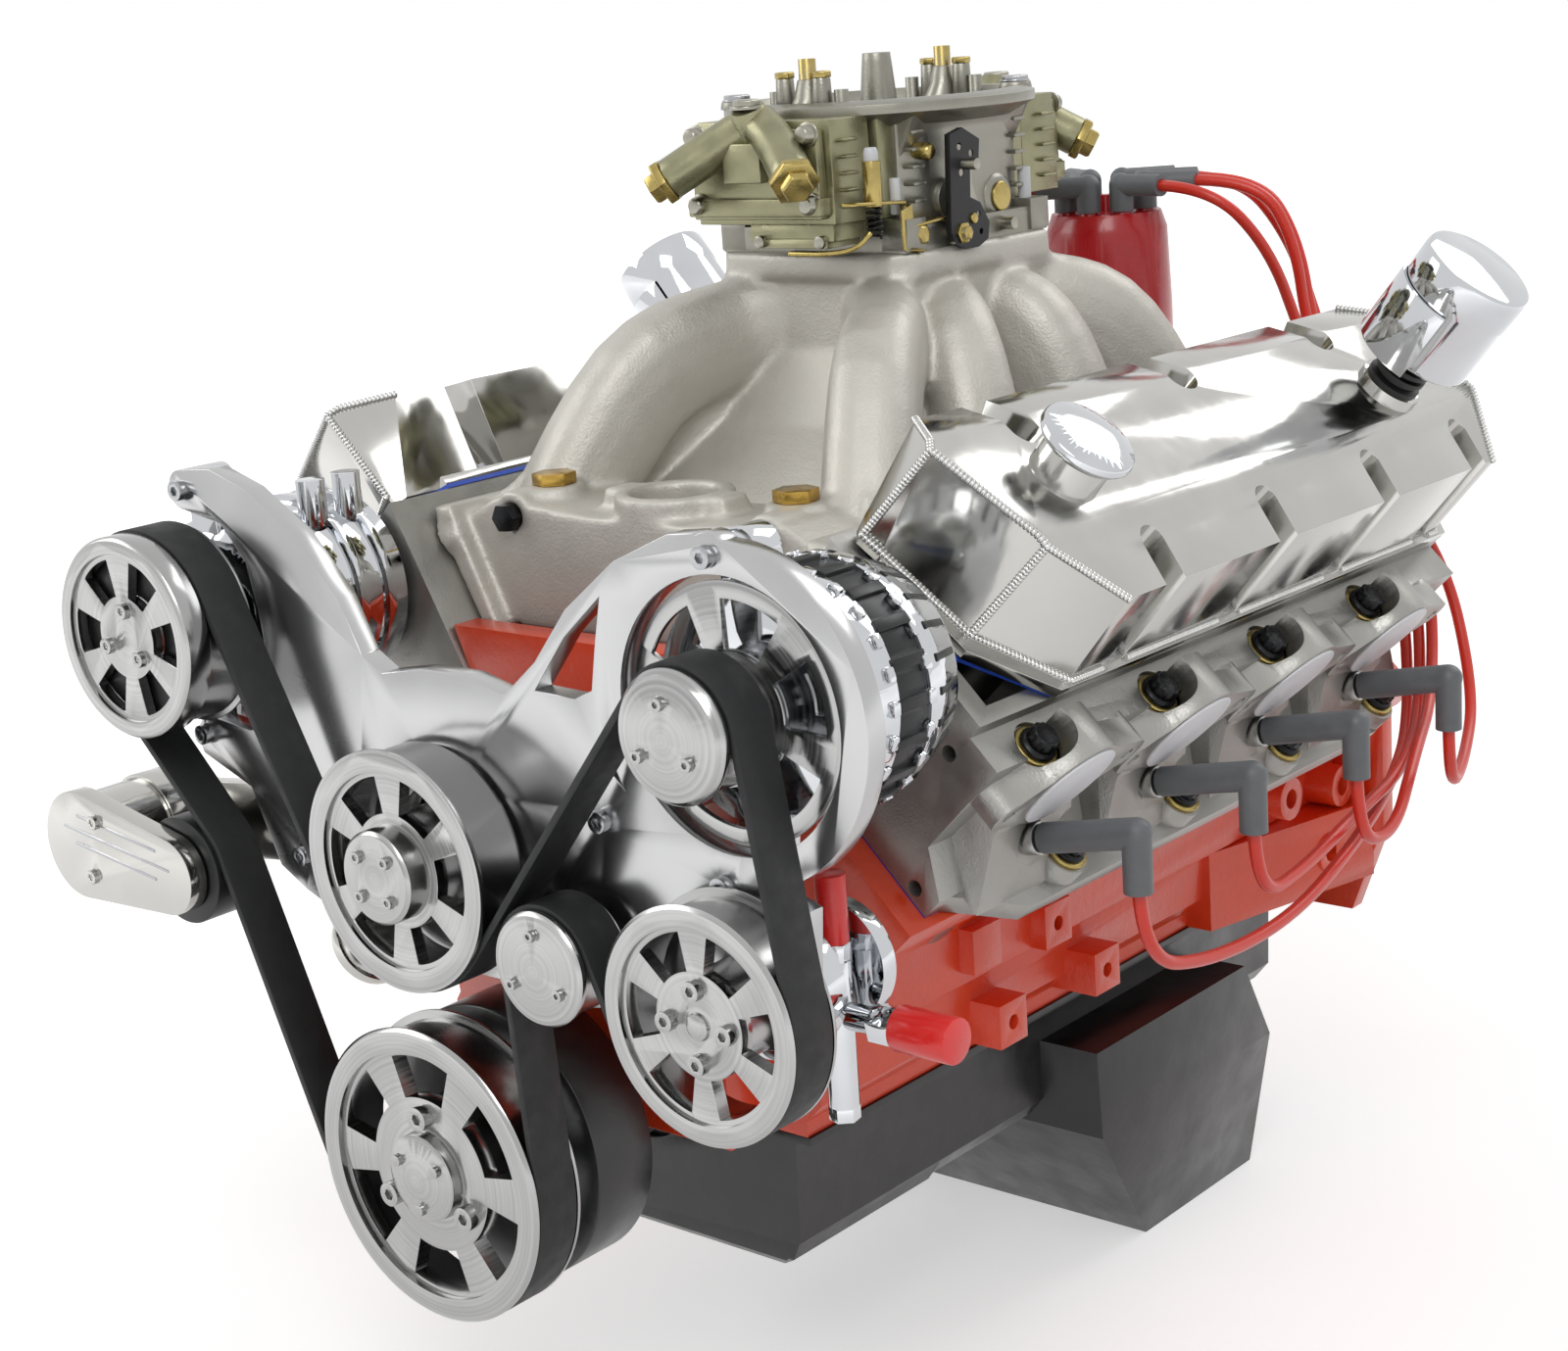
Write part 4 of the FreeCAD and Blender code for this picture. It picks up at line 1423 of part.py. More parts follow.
def tensioner():
    px, pz = TENS_PIVOT
    x, z = TENS_POS
    plate = stadium_y((px, pz), (-168, 170), 24, TENS_BACK, TENS_BACK + 10)
    drum = turned_y([(TENS_BACK + 1, 0), (TENS_BACK + 1, 32), (TENS_BACK - 18, 32), (TENS_BACK - 18, TENS_PIN_R),
                     (-770, TENS_PIN_R), (-770, 0)], TENS_PIVOT)
    save("tensioner_base", fuse([plate, drum]))
    y0 = -775.0
    cover = tear(TENS_PIVOT, 34, TENS_POS, 24, y0, y0 + 12)
    sleeve = turned_y([(y0 + 11, TENS_PIN_R + BEARING_GAP), (y0 + 11, 30), (TENS_BACK - 18.4, 30),
                       (TENS_BACK - 18.4, TENS_PIN_R + BEARING_GAP)], TENS_PIVOT)
    bore = rod(TENS_PIN_R + BEARING_GAP, (px, -770.4, pz), (px, -700, pz))
    axle = rod(7, (x, y0 + 11, z), (x, BELT_Y + 16, z))
    screws = [socket_screw((a, y0, b), (0, -1, 0), 6, 4) for a, b in ((-256, 176), (-264, 140))]
    save("tensioner_arm", fuse([fuse([cover, sleeve, axle]).cut(bore)] + screws))
    wheel = turned_y([(BELT_Y - 16.5, 7 + BEARING_GAP), (BELT_Y - 16.5, TENS_R), (BELT_Y + 15.5, TENS_R),
                      (BELT_Y + 15.5, 7 + BEARING_GAP)], TENS_POS)
    save("tensioner_pulley", wheel)


TENS_PIN_R = 12.0


def tear(a, ra, b, rb, y0, y1):
    outer = tangent(a, ra, 1, b, rb, 1)
    inner = tangent(a, ra, -1, b, rb, -1)
    quad = prism_y([outer[0], outer[1], inner[1], inner[0]], y0, y1)
    return fuse([rod(ra, (a[0], y0, a[1]), (a[0], y1, a[1])), rod(rb, (b[0], y0, b[1]), (b[0], y1, b[1])), quad])


engine_block()
main_bearing_caps()
crankshaft()
timing_chain()
camshaft()
pistons_and_rods()
oil_pan()
oil_pump()
timing_cover()
cylinder_head()
valve_covers()
oil_cap()
breathers()
valve_train()
head_bolts()
port_covers()
plug_leads(spark_plugs())
intake_manifold()
brass_plugs()
carburetor()
throttle_shafts()
distributor()
drive_belt()
crank_drive()
pump_drive()
water_pump_housing()
accessory_bracket()
bracket_bolts()
alternator()
steering()
compressor()
idler()
tensioner()
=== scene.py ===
"""Finishes and small forms of a dressed V8 engine, laid over its solids."""
import json
import math

import bmesh
import bpy
from mathutils import Matrix, Vector


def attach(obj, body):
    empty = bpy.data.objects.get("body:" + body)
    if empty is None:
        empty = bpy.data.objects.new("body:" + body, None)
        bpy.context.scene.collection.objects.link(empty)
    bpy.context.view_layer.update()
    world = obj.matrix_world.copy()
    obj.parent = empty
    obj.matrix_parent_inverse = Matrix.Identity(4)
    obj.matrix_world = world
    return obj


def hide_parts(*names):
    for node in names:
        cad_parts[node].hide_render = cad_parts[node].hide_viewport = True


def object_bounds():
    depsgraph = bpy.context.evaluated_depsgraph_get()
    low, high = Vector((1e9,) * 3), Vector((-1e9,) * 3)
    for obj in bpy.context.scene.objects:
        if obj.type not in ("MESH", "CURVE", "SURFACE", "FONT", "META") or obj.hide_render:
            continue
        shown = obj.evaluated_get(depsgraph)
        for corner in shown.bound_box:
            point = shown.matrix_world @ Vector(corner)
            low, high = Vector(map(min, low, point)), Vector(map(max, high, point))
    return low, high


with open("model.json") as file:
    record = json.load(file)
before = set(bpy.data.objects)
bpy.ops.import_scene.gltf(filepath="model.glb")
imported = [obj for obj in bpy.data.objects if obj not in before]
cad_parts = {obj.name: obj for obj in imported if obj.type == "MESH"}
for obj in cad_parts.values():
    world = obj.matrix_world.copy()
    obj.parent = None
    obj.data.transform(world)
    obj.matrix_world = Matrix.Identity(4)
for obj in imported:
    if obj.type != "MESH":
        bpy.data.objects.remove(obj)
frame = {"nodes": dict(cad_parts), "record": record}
CAD_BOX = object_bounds()
NODES = frame["nodes"]
RECORD = frame["record"]
BODY_OF = {n: b for b, ns in RECORD["behaviour"]["bodies"].items() for n in ns}
SLOT_OF = {s["node"]: s["material_slot"] for s in RECORD["subparts"]}
MM = 0.001

# Camera: the photograph's place and lens, found from the engine's own sizes
AZIMUTH, ELEVATION, ROLL = math.radians(40.9702), math.radians(14.1605), math.radians(-3.9136)
FOCAL_PX, FRAME_PX, SENSOR = 2749.85, 1600, 36
EYE = Vector((1.09559, -1.68593, 0.63525))


def camera():
    back = Vector((math.sin(AZIMUTH) * math.cos(ELEVATION), -math.cos(AZIMUTH) * math.cos(ELEVATION),
                   math.sin(ELEVATION)))
    right = (-back).cross(Vector((0, 0, 1))).normalized()
    up = right.cross(-back)
    across = right * math.cos(ROLL) + up * math.sin(ROLL)
    rise = -right * math.sin(ROLL) + up * math.cos(ROLL)
    lens = bpy.data.cameras.new("camera")
    lens.sensor_fit, lens.sensor_width = "HORIZONTAL", SENSOR
    lens.lens = FOCAL_PX / FRAME_PX * SENSOR
    lens.clip_start, lens.clip_end = 0.05, 50
    eye = bpy.data.objects.new("camera", lens)
    bpy.context.scene.collection.objects.link(eye)
    turn = Matrix((across, rise, back)).transposed().to_4x4()
    turn.translation = EYE
    eye.matrix_world = turn
    bpy.context.scene.camera = eye


camera()


# Materials
def colour(code):
    parts = [int(code[i:i + 2], 16) / 255 for i in (0, 2, 4)]
    return [c / 12.92 if c <= 0.04045 else ((c + 0.055) / 1.055) ** 2.4 for c in parts] + [1.0]


def put(tree, kind, settings=None, inputs=None):
    """Adds one node. An input is a value, or (node, output) for a link."""
    node = tree.nodes.new(kind)
    for key, value in (settings or {}).items():
        setattr(node, key, value)
    for key, value in (inputs or {}).items():
        if isinstance(value, tuple) and isinstance(value[0], bpy.types.Node):
            tree.links.new(value[0].outputs[value[1]], node.inputs[key])
        else:
            node.inputs[key].default_value = value
    return node


def start_material(name, **sockets):
    material = bpy.data.materials.new(name)
    material.use_nodes = True
    tree = material.node_tree
    tree.nodes.clear()
    shader = put(tree, "ShaderNodeBsdfPrincipled",
                 inputs={key.replace("_", " "): value for key, value in sockets.items()})
    put(tree, "ShaderNodeOutputMaterial", inputs={"Surface": (shader, 0)})
    where = put(tree, "ShaderNodeTexCoord")
    return material, tree, shader, (where, "Object")


def patchy(tree, shader, place, pale, dark, patch, rough, spread):
    """Two close colours and two roughnesses in soft patches of that size in mm."""
    patches = put(tree, "ShaderNodeTexNoise", inputs={"Vector": place, "Scale": 1 / (patch * MM), "Detail": 3.0})
    tint = put(tree, "ShaderNodeMix", {"data_type": "RGBA"}, {0: (patches, 0), 6: colour(dark), 7: colour(pale)})
    tree.links.new(tint.outputs[2], shader.inputs["Base Color"])
    level = put(tree, "ShaderNodeMapRange", inputs={0: (patches, 0), 1: 0.3, 2: 0.7, 3: rough - spread,
                                                    4: rough + spread})
    tree.links.new(level.outputs[0], shader.inputs["Roughness"])


def relief(tree, shader, layers):
    """Bumps of (height output, depth in mm), one over the other."""
    normal = None
    for height, depth in layers:
        inputs = {"Height": height, "Strength": 1.0, "Distance": depth * MM}
        if normal:
            inputs["Normal"] = (normal, 0)
        normal = put(tree, "ShaderNodeBump", inputs=inputs)
    tree.links.new(normal.outputs[0], shader.inputs["Normal"])


def finish(name, pale, dark, metal, rough, spread=0.04, patch=25, grain=None, swell=None, **sockets):
    """grain and swell are (size, depth) in mm of the fine and the broad relief."""
    material, tree, shader, place = start_material(name, Metallic=metal, **sockets)
    patchy(tree, shader, place, pale, dark, patch, rough, spread)
    layers = []
    for size, depth in [pair for pair in (swell, grain) if pair]:
        noise = put(tree, "ShaderNodeTexNoise",
                    inputs={"Vector": place, "Scale": 1 / (size * MM), "Detail": 2.0, "Roughness": 0.6})
        layers.append(((noise, 0), depth))
    if layers:
        relief(tree, shader, layers)
    return material


def turned(name, centre, pale, dark, rough, stretch=0.55):
    """Lathe-turned metal: rings round the piece's own axis, which stretch its highlights into spokes."""
    material, tree, shader, place = start_material(name, Metallic=1.0, Anisotropic=stretch)
    middle = put(tree, "ShaderNodeMapping", inputs={"Vector": place, "Location": (-centre[0], 0, -centre[1])})
    flat = put(tree, "ShaderNodeVectorMath", {"operation": "MULTIPLY"}, {0: (middle, 0), 1: (1, 0, 1)})
    radius = put(tree, "ShaderNodeVectorMath", {"operation": "LENGTH"}, {0: (flat, 0)})
    round_it = put(tree, "ShaderNodeVectorMath", {"operation": "CROSS_PRODUCT"}, {0: (flat, 0), 1: (0, 1, 0)})
    along = put(tree, "ShaderNodeVectorMath", {"operation": "NORMALIZE"}, {0: (round_it, 0)})
    tree.links.new(along.outputs[0], shader.inputs["Tangent"])
    # tool marks 2 mm apart: the real ones are finer than a pixel
    marks = put(tree, "ShaderNodeTexNoise", {"noise_dimensions": "1D"},
                {"W": (radius, "Value"), "Scale": 1 / (2 * MM), "Detail": 1.0})
    tint = put(tree, "ShaderNodeMix", {"data_type": "RGBA"}, {0: (marks, 0), 6: colour(dark), 7: colour(pale)})
    tree.links.new(tint.outputs[2], shader.inputs["Base Color"])
    level = put(tree, "ShaderNodeMapRange", inputs={0: (marks, 0), 1: 0.3, 2: 0.7, 3: rough - 0.05,
                                                    4: rough + 0.06})
    tree.links.new(level.outputs[0], shader.inputs["Roughness"])
    return material


PULLEY_AXES = {"crank_pulley": (0, 0), "water_pump_pulley": (0, 0.1818), "steering_pulley": (0.2179, 0.1342),
               "compressor_clutch": (-0.2023, 0.2964), "idler_pulley": (0.1091, 0.1455),
               "alternator_pulley": (0.2189, 0.2869)}

MATERIALS = {
    # enamel over cast iron: a glossy orange red with the casting's soft lumps under it
    "block_paint": finish("orange_enamel_on_cast_iron", "E8481C", "D63A14", 0.0, 0.34, grain=(1.6, 0.25),
                          swell=(9, 0.5), Coat_Weight=0.35, Coat_Roughness=0.2),
    "cover_paint": finish("orange_enamel_on_pressed_steel", "E8481C", "DC3E16", 0.0, 0.3, swell=(14, 0.2),
                          Coat_Weight=0.35, Coat_Roughness=0.2),
    # satin black enamel on the pan and damper: deep black with a broad dull sheen
    "black_paint": finish("satin_black_enamel", "101112", "08090A", 0.0, 0.36, spread=0.08, swell=(18, 0.35),
                          grain=(1.8, 0.05), Coat_Weight=0.2, Coat_Roughness=0.3),
    # machined and forged steel inside the engine, grey with an oil film
    "inner_steel": finish("forged_steel", "8A8A8A", "6E6E70", 1.0, 0.38, grain=(1.5, 0.05)),
    "piston_alloy": finish("machined_piston_alloy", "B4B4B2", "A0A09E", 1.0, 0.34),
    # sand-cast aluminium: pale grey, dull, with the sand's grain all over
    "cast_alloy": finish("sand_cast_aluminium", "CBC8C0", "B5B2AA", 0.45, 0.5, spread=0.07, patch=40,
                         grain=(1.7, 0.32), swell=(12, 0.4)),
    # hand-polished sheet aluminium: near mirror, with faint waves left by the buffing wheel
    "polished_alloy": finish("buffed_sheet_aluminium", "BFBEBA", "B2B1AD", 1.0, 0.15, spread=0.05, patch=45,
                             swell=(38, 0.35)),
    # chrome plate: a cold mirror
    "chrome": finish("chrome_plate", "CDCFD2", "C0C2C5", 1.0, 0.06, spread=0.02, swell=(60, 0.2)),
    # silicone gasket: strong matt blue
    "gasket_blue": finish("blue_silicone_rubber", "1F4FC4", "173FA6", 0.0, 0.5),
    # die-cast zinc, tumbled and clear: warm grey, half dull
    "zinc_body": finish("die_cast_zinc", "9C9A90", "7F7D74", 0.85, 0.36, spread=0.08, patch=18, grain=(1.6, 0.12)),
    # dichromate dip on die-cast zinc: olive grey with gold and green patches
    "zinc_gold": finish("dichromate_zinc", "A09C7E", "78785E", 0.85, 0.34, spread=0.08, patch=14,
                        grain=(1.6, 0.12)),
    "throttle_steel": finish("zinc_plated_steel", "A9A69A", "8C8A80", 1.0, 0.3),
    # plain brass, a little dull
    "brass": finish("brass", "C4A255", "A4823A", 1.0, 0.26, spread=0.06, patch=8),
    "dist_alloy": finish("machined_aluminium", "C4C4C2", "B0B0AE", 1.0, 0.28),
    # moulded cap: glossy deep red
    "cap_red": finish("moulded_red_polyester", "B9121C", "A80E18", 0.0, 0.28, swell=(16, 0.25),
                      Coat_Weight=0.2, Coat_Roughness=0.15),
    "rotor_black": finish("moulded_black_phenolic", "1A1A1B", "111112", 0.0, 0.4),
    # silicone boots: mid grey rubber with a faint bloom
    "boot_grey": finish("grey_silicone_rubber", "6D7073", "585B5E", 0.0, 0.48, spread=0.06, patch=12,
                        grain=(1.8, 0.08)),
    # silicone lead jacket: orange red, half gloss
    "lead_red": finish("red_silicone_jacket", "DE3420", "CC2A18", 0.0, 0.36, Coat_Weight=0.15, Coat_Roughness=0.3),
    "plug_steel": finish("zinc_plated_plug_steel", "B8B8B6", "A0A09E", 1.0, 0.3),
    # black oxide on steel: oily near-black with sharp edges that still catch light
    "bolt_black": finish("black_oxide_steel", "2A2B2D", "161718", 0.75, 0.3, spread=0.07, patch=9),
    # plain white self-adhesive film
    "port_card": finish("white_adhesive_film", "F4F5F8", "E9EBF0", 0.0, 0.42, patch=16),
    "bolt_steel": finish("stainless_steel", "B4B5B7", "98999C", 1.0, 0.22, patch=8),
    "stator_black": finish("black_varnished_laminations", "1C1D1F", "101112", 0.25, 0.36, patch=10),
    # belt: dull black rubber with a cloth bloom
    "belt_rubber": finish("black_belt_rubber", "17181A", "0E0F10", 0.0, 0.62, spread=0.08, patch=10,
                          grain=(1.6, 0.1)),
}
YELLOW_ZINC = finish("yellow_zinc_plate", "B8A468", "94844E", 1.0, 0.26, spread=0.06, patch=6)
# the heads are cast like the manifold, but blasted: darker, and their glints are metal
HEAD_ALLOY = finish("bead_blasted_aluminium", "ABAAA5", "92918D", 0.85, 0.4, spread=0.07, patch=30,
                    grain=(1.7, 0.2), swell=(12, 0.3))
BARE_PLATE = finish("milled_billet_plate", "BFBFBF", "AEAEAF", 1.0, 0.24, patch=70, swell=(90, 0.25))
CAP_VINYL = finish("red_vinyl", "EE2A24", "E0201C", 0.0, 0.3, patch=12, Coat_Weight=0.3, Coat_Roughness=0.2)
LEVER_BLACK = finish("black_oxide_lever", "1C1C20", "101013", 0.3, 0.42, patch=10)
NYLON = finish("white_nylon", "D8DADC", "CCCED0", 0.0, 0.4)
BEAD = finish("aluminium_weld", "D6D6D4", "B4B4B2", 1.0, 0.22, spread=0.08, patch=4)
LEAD_BAND = finish("yellow_heat_shrink", "D9B23A", "C79E2C", 0.0, 0.45, patch=6)
for node, axis in PULLEY_AXES.items():
    MATERIALS[node] = turned("turned_aluminium_" + node, axis, "B6B6B5", "979797", 0.2)


# Shapes
def merged(node):
    """A CAD node's mesh as one skin: its doubles merged."""
    shape = bmesh.new()
    shape.from_mesh(NODES[node].data)
    bmesh.ops.remove_doubles(shape, verts=shape.verts, dist=0.004 * MM)
    return shape


def plain(name, shape, materials, smooth=32):
    mesh = bpy.data.meshes.new(name)
    shape.to_mesh(mesh)
    shape.free()
    for material in materials:
        mesh.materials.append(material)
    obj = bpy.data.objects.new(name, mesh)
    bpy.context.scene.collection.objects.link(obj)
    soften(mesh, smooth)
    return obj


def soften(mesh, smooth):
    mesh.polygons.foreach_set("use_smooth", [True] * len(mesh.polygons))
    mesh.set_sharp_from_angle(angle=math.radians(smooth))


def settle(obj, smooth=32):
    """Turns an object's modifiers into its own mesh."""
    bpy.context.view_layer.update()
    seen = obj.evaluated_get(bpy.context.evaluated_depsgraph_get())
    mesh = bpy.data.meshes.new_from_object(seen)
    obj.modifiers.clear()
    if obj.type == "MESH":
        obj.data = mesh
    else:
        fresh = bpy.data.objects.new(obj.name + "_made", mesh)
        bpy.context.scene.collection.objects.link(fresh)
        bpy.data.objects.remove(obj)
        obj = fresh
    if smooth:
        soften(mesh, smooth)
    return obj


def belongs(obj, body, slot, *nodes):
    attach(obj, body)
    if nodes:
        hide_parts(*nodes)
    return obj


def dressed(node, edge=0.6, materials=None, smooth=32):
    """A CAD node with its cylinders smooth and its corners broken by a small radius."""
    shape = merged(node)
    bmesh.ops.dissolve_limit(shape, angle_limit=math.radians(0.4), verts=shape.verts, edges=shape.edges)
    obj = plain(node + "_dressed", shape, materials or [MATERIALS[SLOT_OF[node]]], smooth)
    if edge:
        bevel = obj.modifiers.new("broken edge", "BEVEL")
        bevel.width, bevel.segments, bevel.limit_method = edge * MM, 2, "ANGLE"
        bevel.angle_limit = math.radians(smooth)
        bevel.harden_normals = False
        obj = settle(obj, smooth)
    return belongs(obj, BODY_OF[node], SLOT_OF[node], node)


def painted(obj, index, test):
    """Gives the faces whose middle (in mm) passes the test another of the piece's materials."""
    for face in obj.data.polygons:
        middle = face.center
        if test(middle.x / MM, middle.y / MM, middle.z / MM):
            face.material_index = index


def cast(node, voxel, passes, extra=None):
    """A CAD node as a casting: every corner run together in small fillets."""
    shape = merged(node)
    if extra:
        extra(shape)
    obj = plain(node + "_cast", shape, [MATERIALS[SLOT_OF[node]]])
    skin = obj.modifiers.new("one skin", "REMESH")
    skin.mode, skin.voxel_size, skin.adaptivity = "VOXEL", voxel * MM, 0.0
    soft = obj.modifiers.new("fillets", "SMOOTH")
    soft.factor, soft.iterations = 0.5, passes
    obj = settle(obj, 60)
    return belongs(obj, BODY_OF[node], SLOT_OF[node], node)


def frame_of(axis, hint=Vector((0, 0, 1))):
    axis = axis.normalized()
    if abs(axis.dot(hint)) > 0.95:
        hint = Vector((1, 0, 0))
    side = hint.cross(axis).normalized()
    return side, axis.cross(side), axis


def lathe(shape, profile, origin, axis, steps=40, arc=(0, 360), hint=Vector((0, 0, 1))):
    """Turns (radius, height) pairs in mm round an axis; a full turn whose ends are at radius 0 is closed."""
    a, b, c = frame_of(axis, hint)
    full = abs(arc[1] - arc[0]) >= 360
    count = steps if full else steps + 1
    rings = []
    for r, h in profile:
        if r == 0:
            rings.append([shape.verts.new(origin + c * h * MM)])
            continue
        ring = []
        for k in range(count):
            t = math.radians(arc[0] + (arc[1] - arc[0]) * k / steps)
            ring.append(shape.verts.new(origin + (a * math.cos(t) + b * math.sin(t)) * r * MM + c * h * MM))
        rings.append(ring)
    made = []
    for low, high in zip(rings, rings[1:]):
        for k in range(steps):
            n = (k + 1) % count
            loop = [low[k % len(low)], low[n % len(low)], high[n % len(high)], high[k % len(high)]]
            loop = [v for i, v in enumerate(loop) if v not in loop[:i]]
            if len(loop) > 2:
                made.append(shape.faces.new(loop))
    return made


def sweep(shape, path, sizes, sides=16, squareness=2.0, hint=Vector((0, 0, 1))):
    """A closed tube along points in mm; sizes are (half width, half height) at each point."""
    points = [Vector(p) * MM for p in path]
    rings = []
    for i, point in enumerate(points):
        ahead = points[min(i + 1, len(points) - 1)] - points[max(i - 1, 0)]
        a, b, _ = frame_of(ahead, hint)
        w, h = sizes[i]
        ring = []
        for k in range(sides):
            t = 2 * math.pi * k / sides
            ct, st = math.cos(t), math.sin(t)
            x = math.copysign(abs(ct) ** (2 / squareness), ct) * w * MM
            y = math.copysign(abs(st) ** (2 / squareness), st) * h * MM
            ring.append(shape.verts.new(point + a * x + b * y))
        rings.append(ring)
    for low, high in zip(rings, rings[1:]):
        for k in range(sides):
            n = (k + 1) % sides
            shape.faces.new([low[k], low[n], high[n], high[k]])
    shape.faces.new(list(reversed(rings[0])))
    shape.faces.new(rings[-1])


def curved(points, steps=6):
    """A smooth line through points (Catmull-Rom)."""
    pts = [Vector(p) for p in points]
    ends = [pts[0] * 2 - pts[1]] + pts + [pts[-1] * 2 - pts[-2]]
    line = []
    for i in range(1, len(ends) - 2):
        p0, p1, p2, p3 = ends[i - 1:i + 3]
        for k in range(steps):
            t = k / steps
            line.append(0.5 * ((2 * p1) + (p2 - p0) * t + (2 * p0 - 5 * p1 + 4 * p2 - p3) * t * t
                               + (3 * p1 - p0 - 3 * p2 + p3) * t ** 3))
    line.append(pts[-1])
    return line


# The two banks: v across the head, h above its deck, both in mm
DECK, STAGGER = 248.9, -22.0
HALF = math.sqrt(0.5)
COVER_BASE, TOP_SLOPE = 117.0, math.radians(5.2)
BORES = {1: [-490.9 + 122.94 * i for i in range(4)]}
BORES[-1] = [y + STAGGER for y in BORES[1]]


def bank(side, v, h, y):
    u = DECK + h
    return Vector((side * (u + v) * HALF, y + (STAGGER if side < 0 else 0), (u - v) * HALF))


def face_height(v):
    return COVER_BASE + 77 + (v + 122) * math.tan(TOP_SLOPE)


FACE_NORMAL = {side: Vector((side * math.sin(math.pi / 4 - TOP_SLOPE), 0, math.cos(math.pi / 4 - TOP_SLOPE)))
               for side in (1, -1)}


# Plug leads: real silicone leads, 8 mm across, clipped nowhere and lying against the block's side
LEAD_MM = 8.0
TOWERS = {1: [(325, 350), (10, 15), (55, 20), (100, 40)], -1: [(280, 215), (235, 190), (190, 170), (145, 145)]}


def lead_line(side, i):
    port = BORES[side][i] - 16 * side
    x0, z0, s = 317.8, 157.2, 10.0 * i
    line = [(x0, port, z0), (x0, port, z0 - 54)]
    line += {0: [(x0 - 2, port + 80, 80), (x0 - 6, port + 178, 76), (x0 - 17, port + 272, 92)],
             1: [(x0 - 8, port + 72, 101), (x0 - 17, port + 154, 112)],
             2: [(x0 - 6, port + 60, 92)],
             3: [(296, -72, 104), (276, -16, 136)]}[i]
    if i < 3:
        line += [(278 + 0.8 * s, -140, 104 + s), (242 + 0.9 * s, -45, 120 + s)]
    back = -6 + 9.0 * i
    line += [(216 + 0.6 * s, back + 2, 205 + 0.6 * s), (172, back, 292), (140, back, 380)]
    place, aim = (math.radians(a) for a in TOWERS[side][i])
    tower = Vector((11 + 30 * math.cos(place), -52 + 30 * math.sin(place), 490))
    aim = Vector((math.cos(aim), math.sin(aim), 0))
    out, near = tower + aim * 82, Vector((side * 140, back, 380))
    line = [Vector((side * x, y, z)) for x, y, z in line]
    return line + [(out + near) / 2 + Vector((side * 10, 0, 10)), out, tower + aim * 30]


number = 0
for side in (1, -1):
    for i in range(4):
        number += 1
        line = lead_line(side, i)
        curve = bpy.data.curves.new("ignition_lead_%d" % number, "CURVE")
        curve.dimensions, curve.bevel_depth, curve.bevel_resolution = "3D", LEAD_MM / 2 * MM, 4
        curve.resolution_u, curve.use_fill_caps = 10, True
        spline = curve.splines.new("NURBS")
        spline.points.add(len(line) - 1)
        for point, place in zip(spline.points, line):
            point.co = (*(place * MM), 1)
        spline.order_u = 3
        spline.use_endpoint_u = True
        curve.materials.append(MATERIALS["lead_red"])
        lead = bpy.data.objects.new("ignition_lead_%d" % number, curve)
        bpy.context.scene.collection.objects.link(lead)
        bpy.context.view_layer.update()
        belongs(lead, "engine", "lead_red", "plug_lead_%d" % number)


# Castings
def runners(shape):
    """The wide smooth runners that sweep from the plenum down to each pair of ports."""
    for side in (1, -1):
        for i, y in enumerate(BORES[side]):
            root = -293 + (i - 1.5) * 40
            out = -1 if i < 2 else 1
            low, high = bank(side, -110, 34, 0), bank(side, -118, 82, 0)
            middle = (low + high) / 2
            spread = 1.0 if i in (0, 3) else 0.35
            line = curved([(side * 30, root, 432), (side * 62, root + out * 22 * spread, 424),
                           (side * 92, root * 0.45 + y * 0.55, 398), (middle.x - side * 8, y, middle.z - 8)], 5)
            sizes = [(20 + 12 * k / (len(line) - 1), 24 + 13 * math.sin(math.pi * (0.2 + 0.6 * k / len(line))))
                     for k in range(len(line))]
            sweep(shape, line, sizes, 18, 2.6)


cast("intake_manifold", 2.6, 7, runners)

for node, edge in (("engine_block", 1.6), ("oil_pan", 2.2), ("timing_cover", 1.0),
                   ("valve_cover_left", 1.3), ("valve_cover_right", 1.3),
                   ("carburetor_base_plate", 0.8),
                   ("compressor_body", 0.8), ("alternator_case", 0.8), ("alternator_stator", 0.5),
                   ("steering_pump", 0.8), ("pump_fittings", 0.5),
                   ("harmonic_balancer", 1.2), ("spark_plugs", 0.4), ("oil_cap", 0.8),
                   ("distributor_cap", 1.0), ("distributor_housing", 0.6), ("lead_boots", 1.2),
                   ("drive_belt", 0.5), ("tensioner_arm", 1.0), ("tensioner_pulley", 0.6),
                   ("tensioner_base", 0.8), ("water_pump_housing", 1.2), ("port_covers", 0.3),
                   ("throttle_shaft_primary", 0.4), ("throttle_shaft_secondary", 0.4), ("gaskets", 0)):
    dressed(node, edge)
for node in ("cylinder_head_left", "cylinder_head_right"):
    dressed(node, 1.4, [HEAD_ALLOY])
dressed("accessory_bracket", 1.2, [BARE_PLATE])
dressed("bracket_bolts", 0.3)
dressed("fitting_caps", 0.8, [CAP_VINYL])
plugs = dressed("pipe_plugs", 0.5, [MATERIALS["brass"], MATERIALS["bolt_black"]])
painted(plugs, 1, lambda x, y, z: y < -545)
for node in PULLEY_AXES:
    dressed(node, 0.9, [MATERIALS[node], MATERIALS["bolt_steel"]])
for node in NODES:
    if not NODES[node].hide_render:
        NODES[node].data.materials.clear()
        NODES[node].data.materials.append(MATERIALS[SLOT_OF[node]])


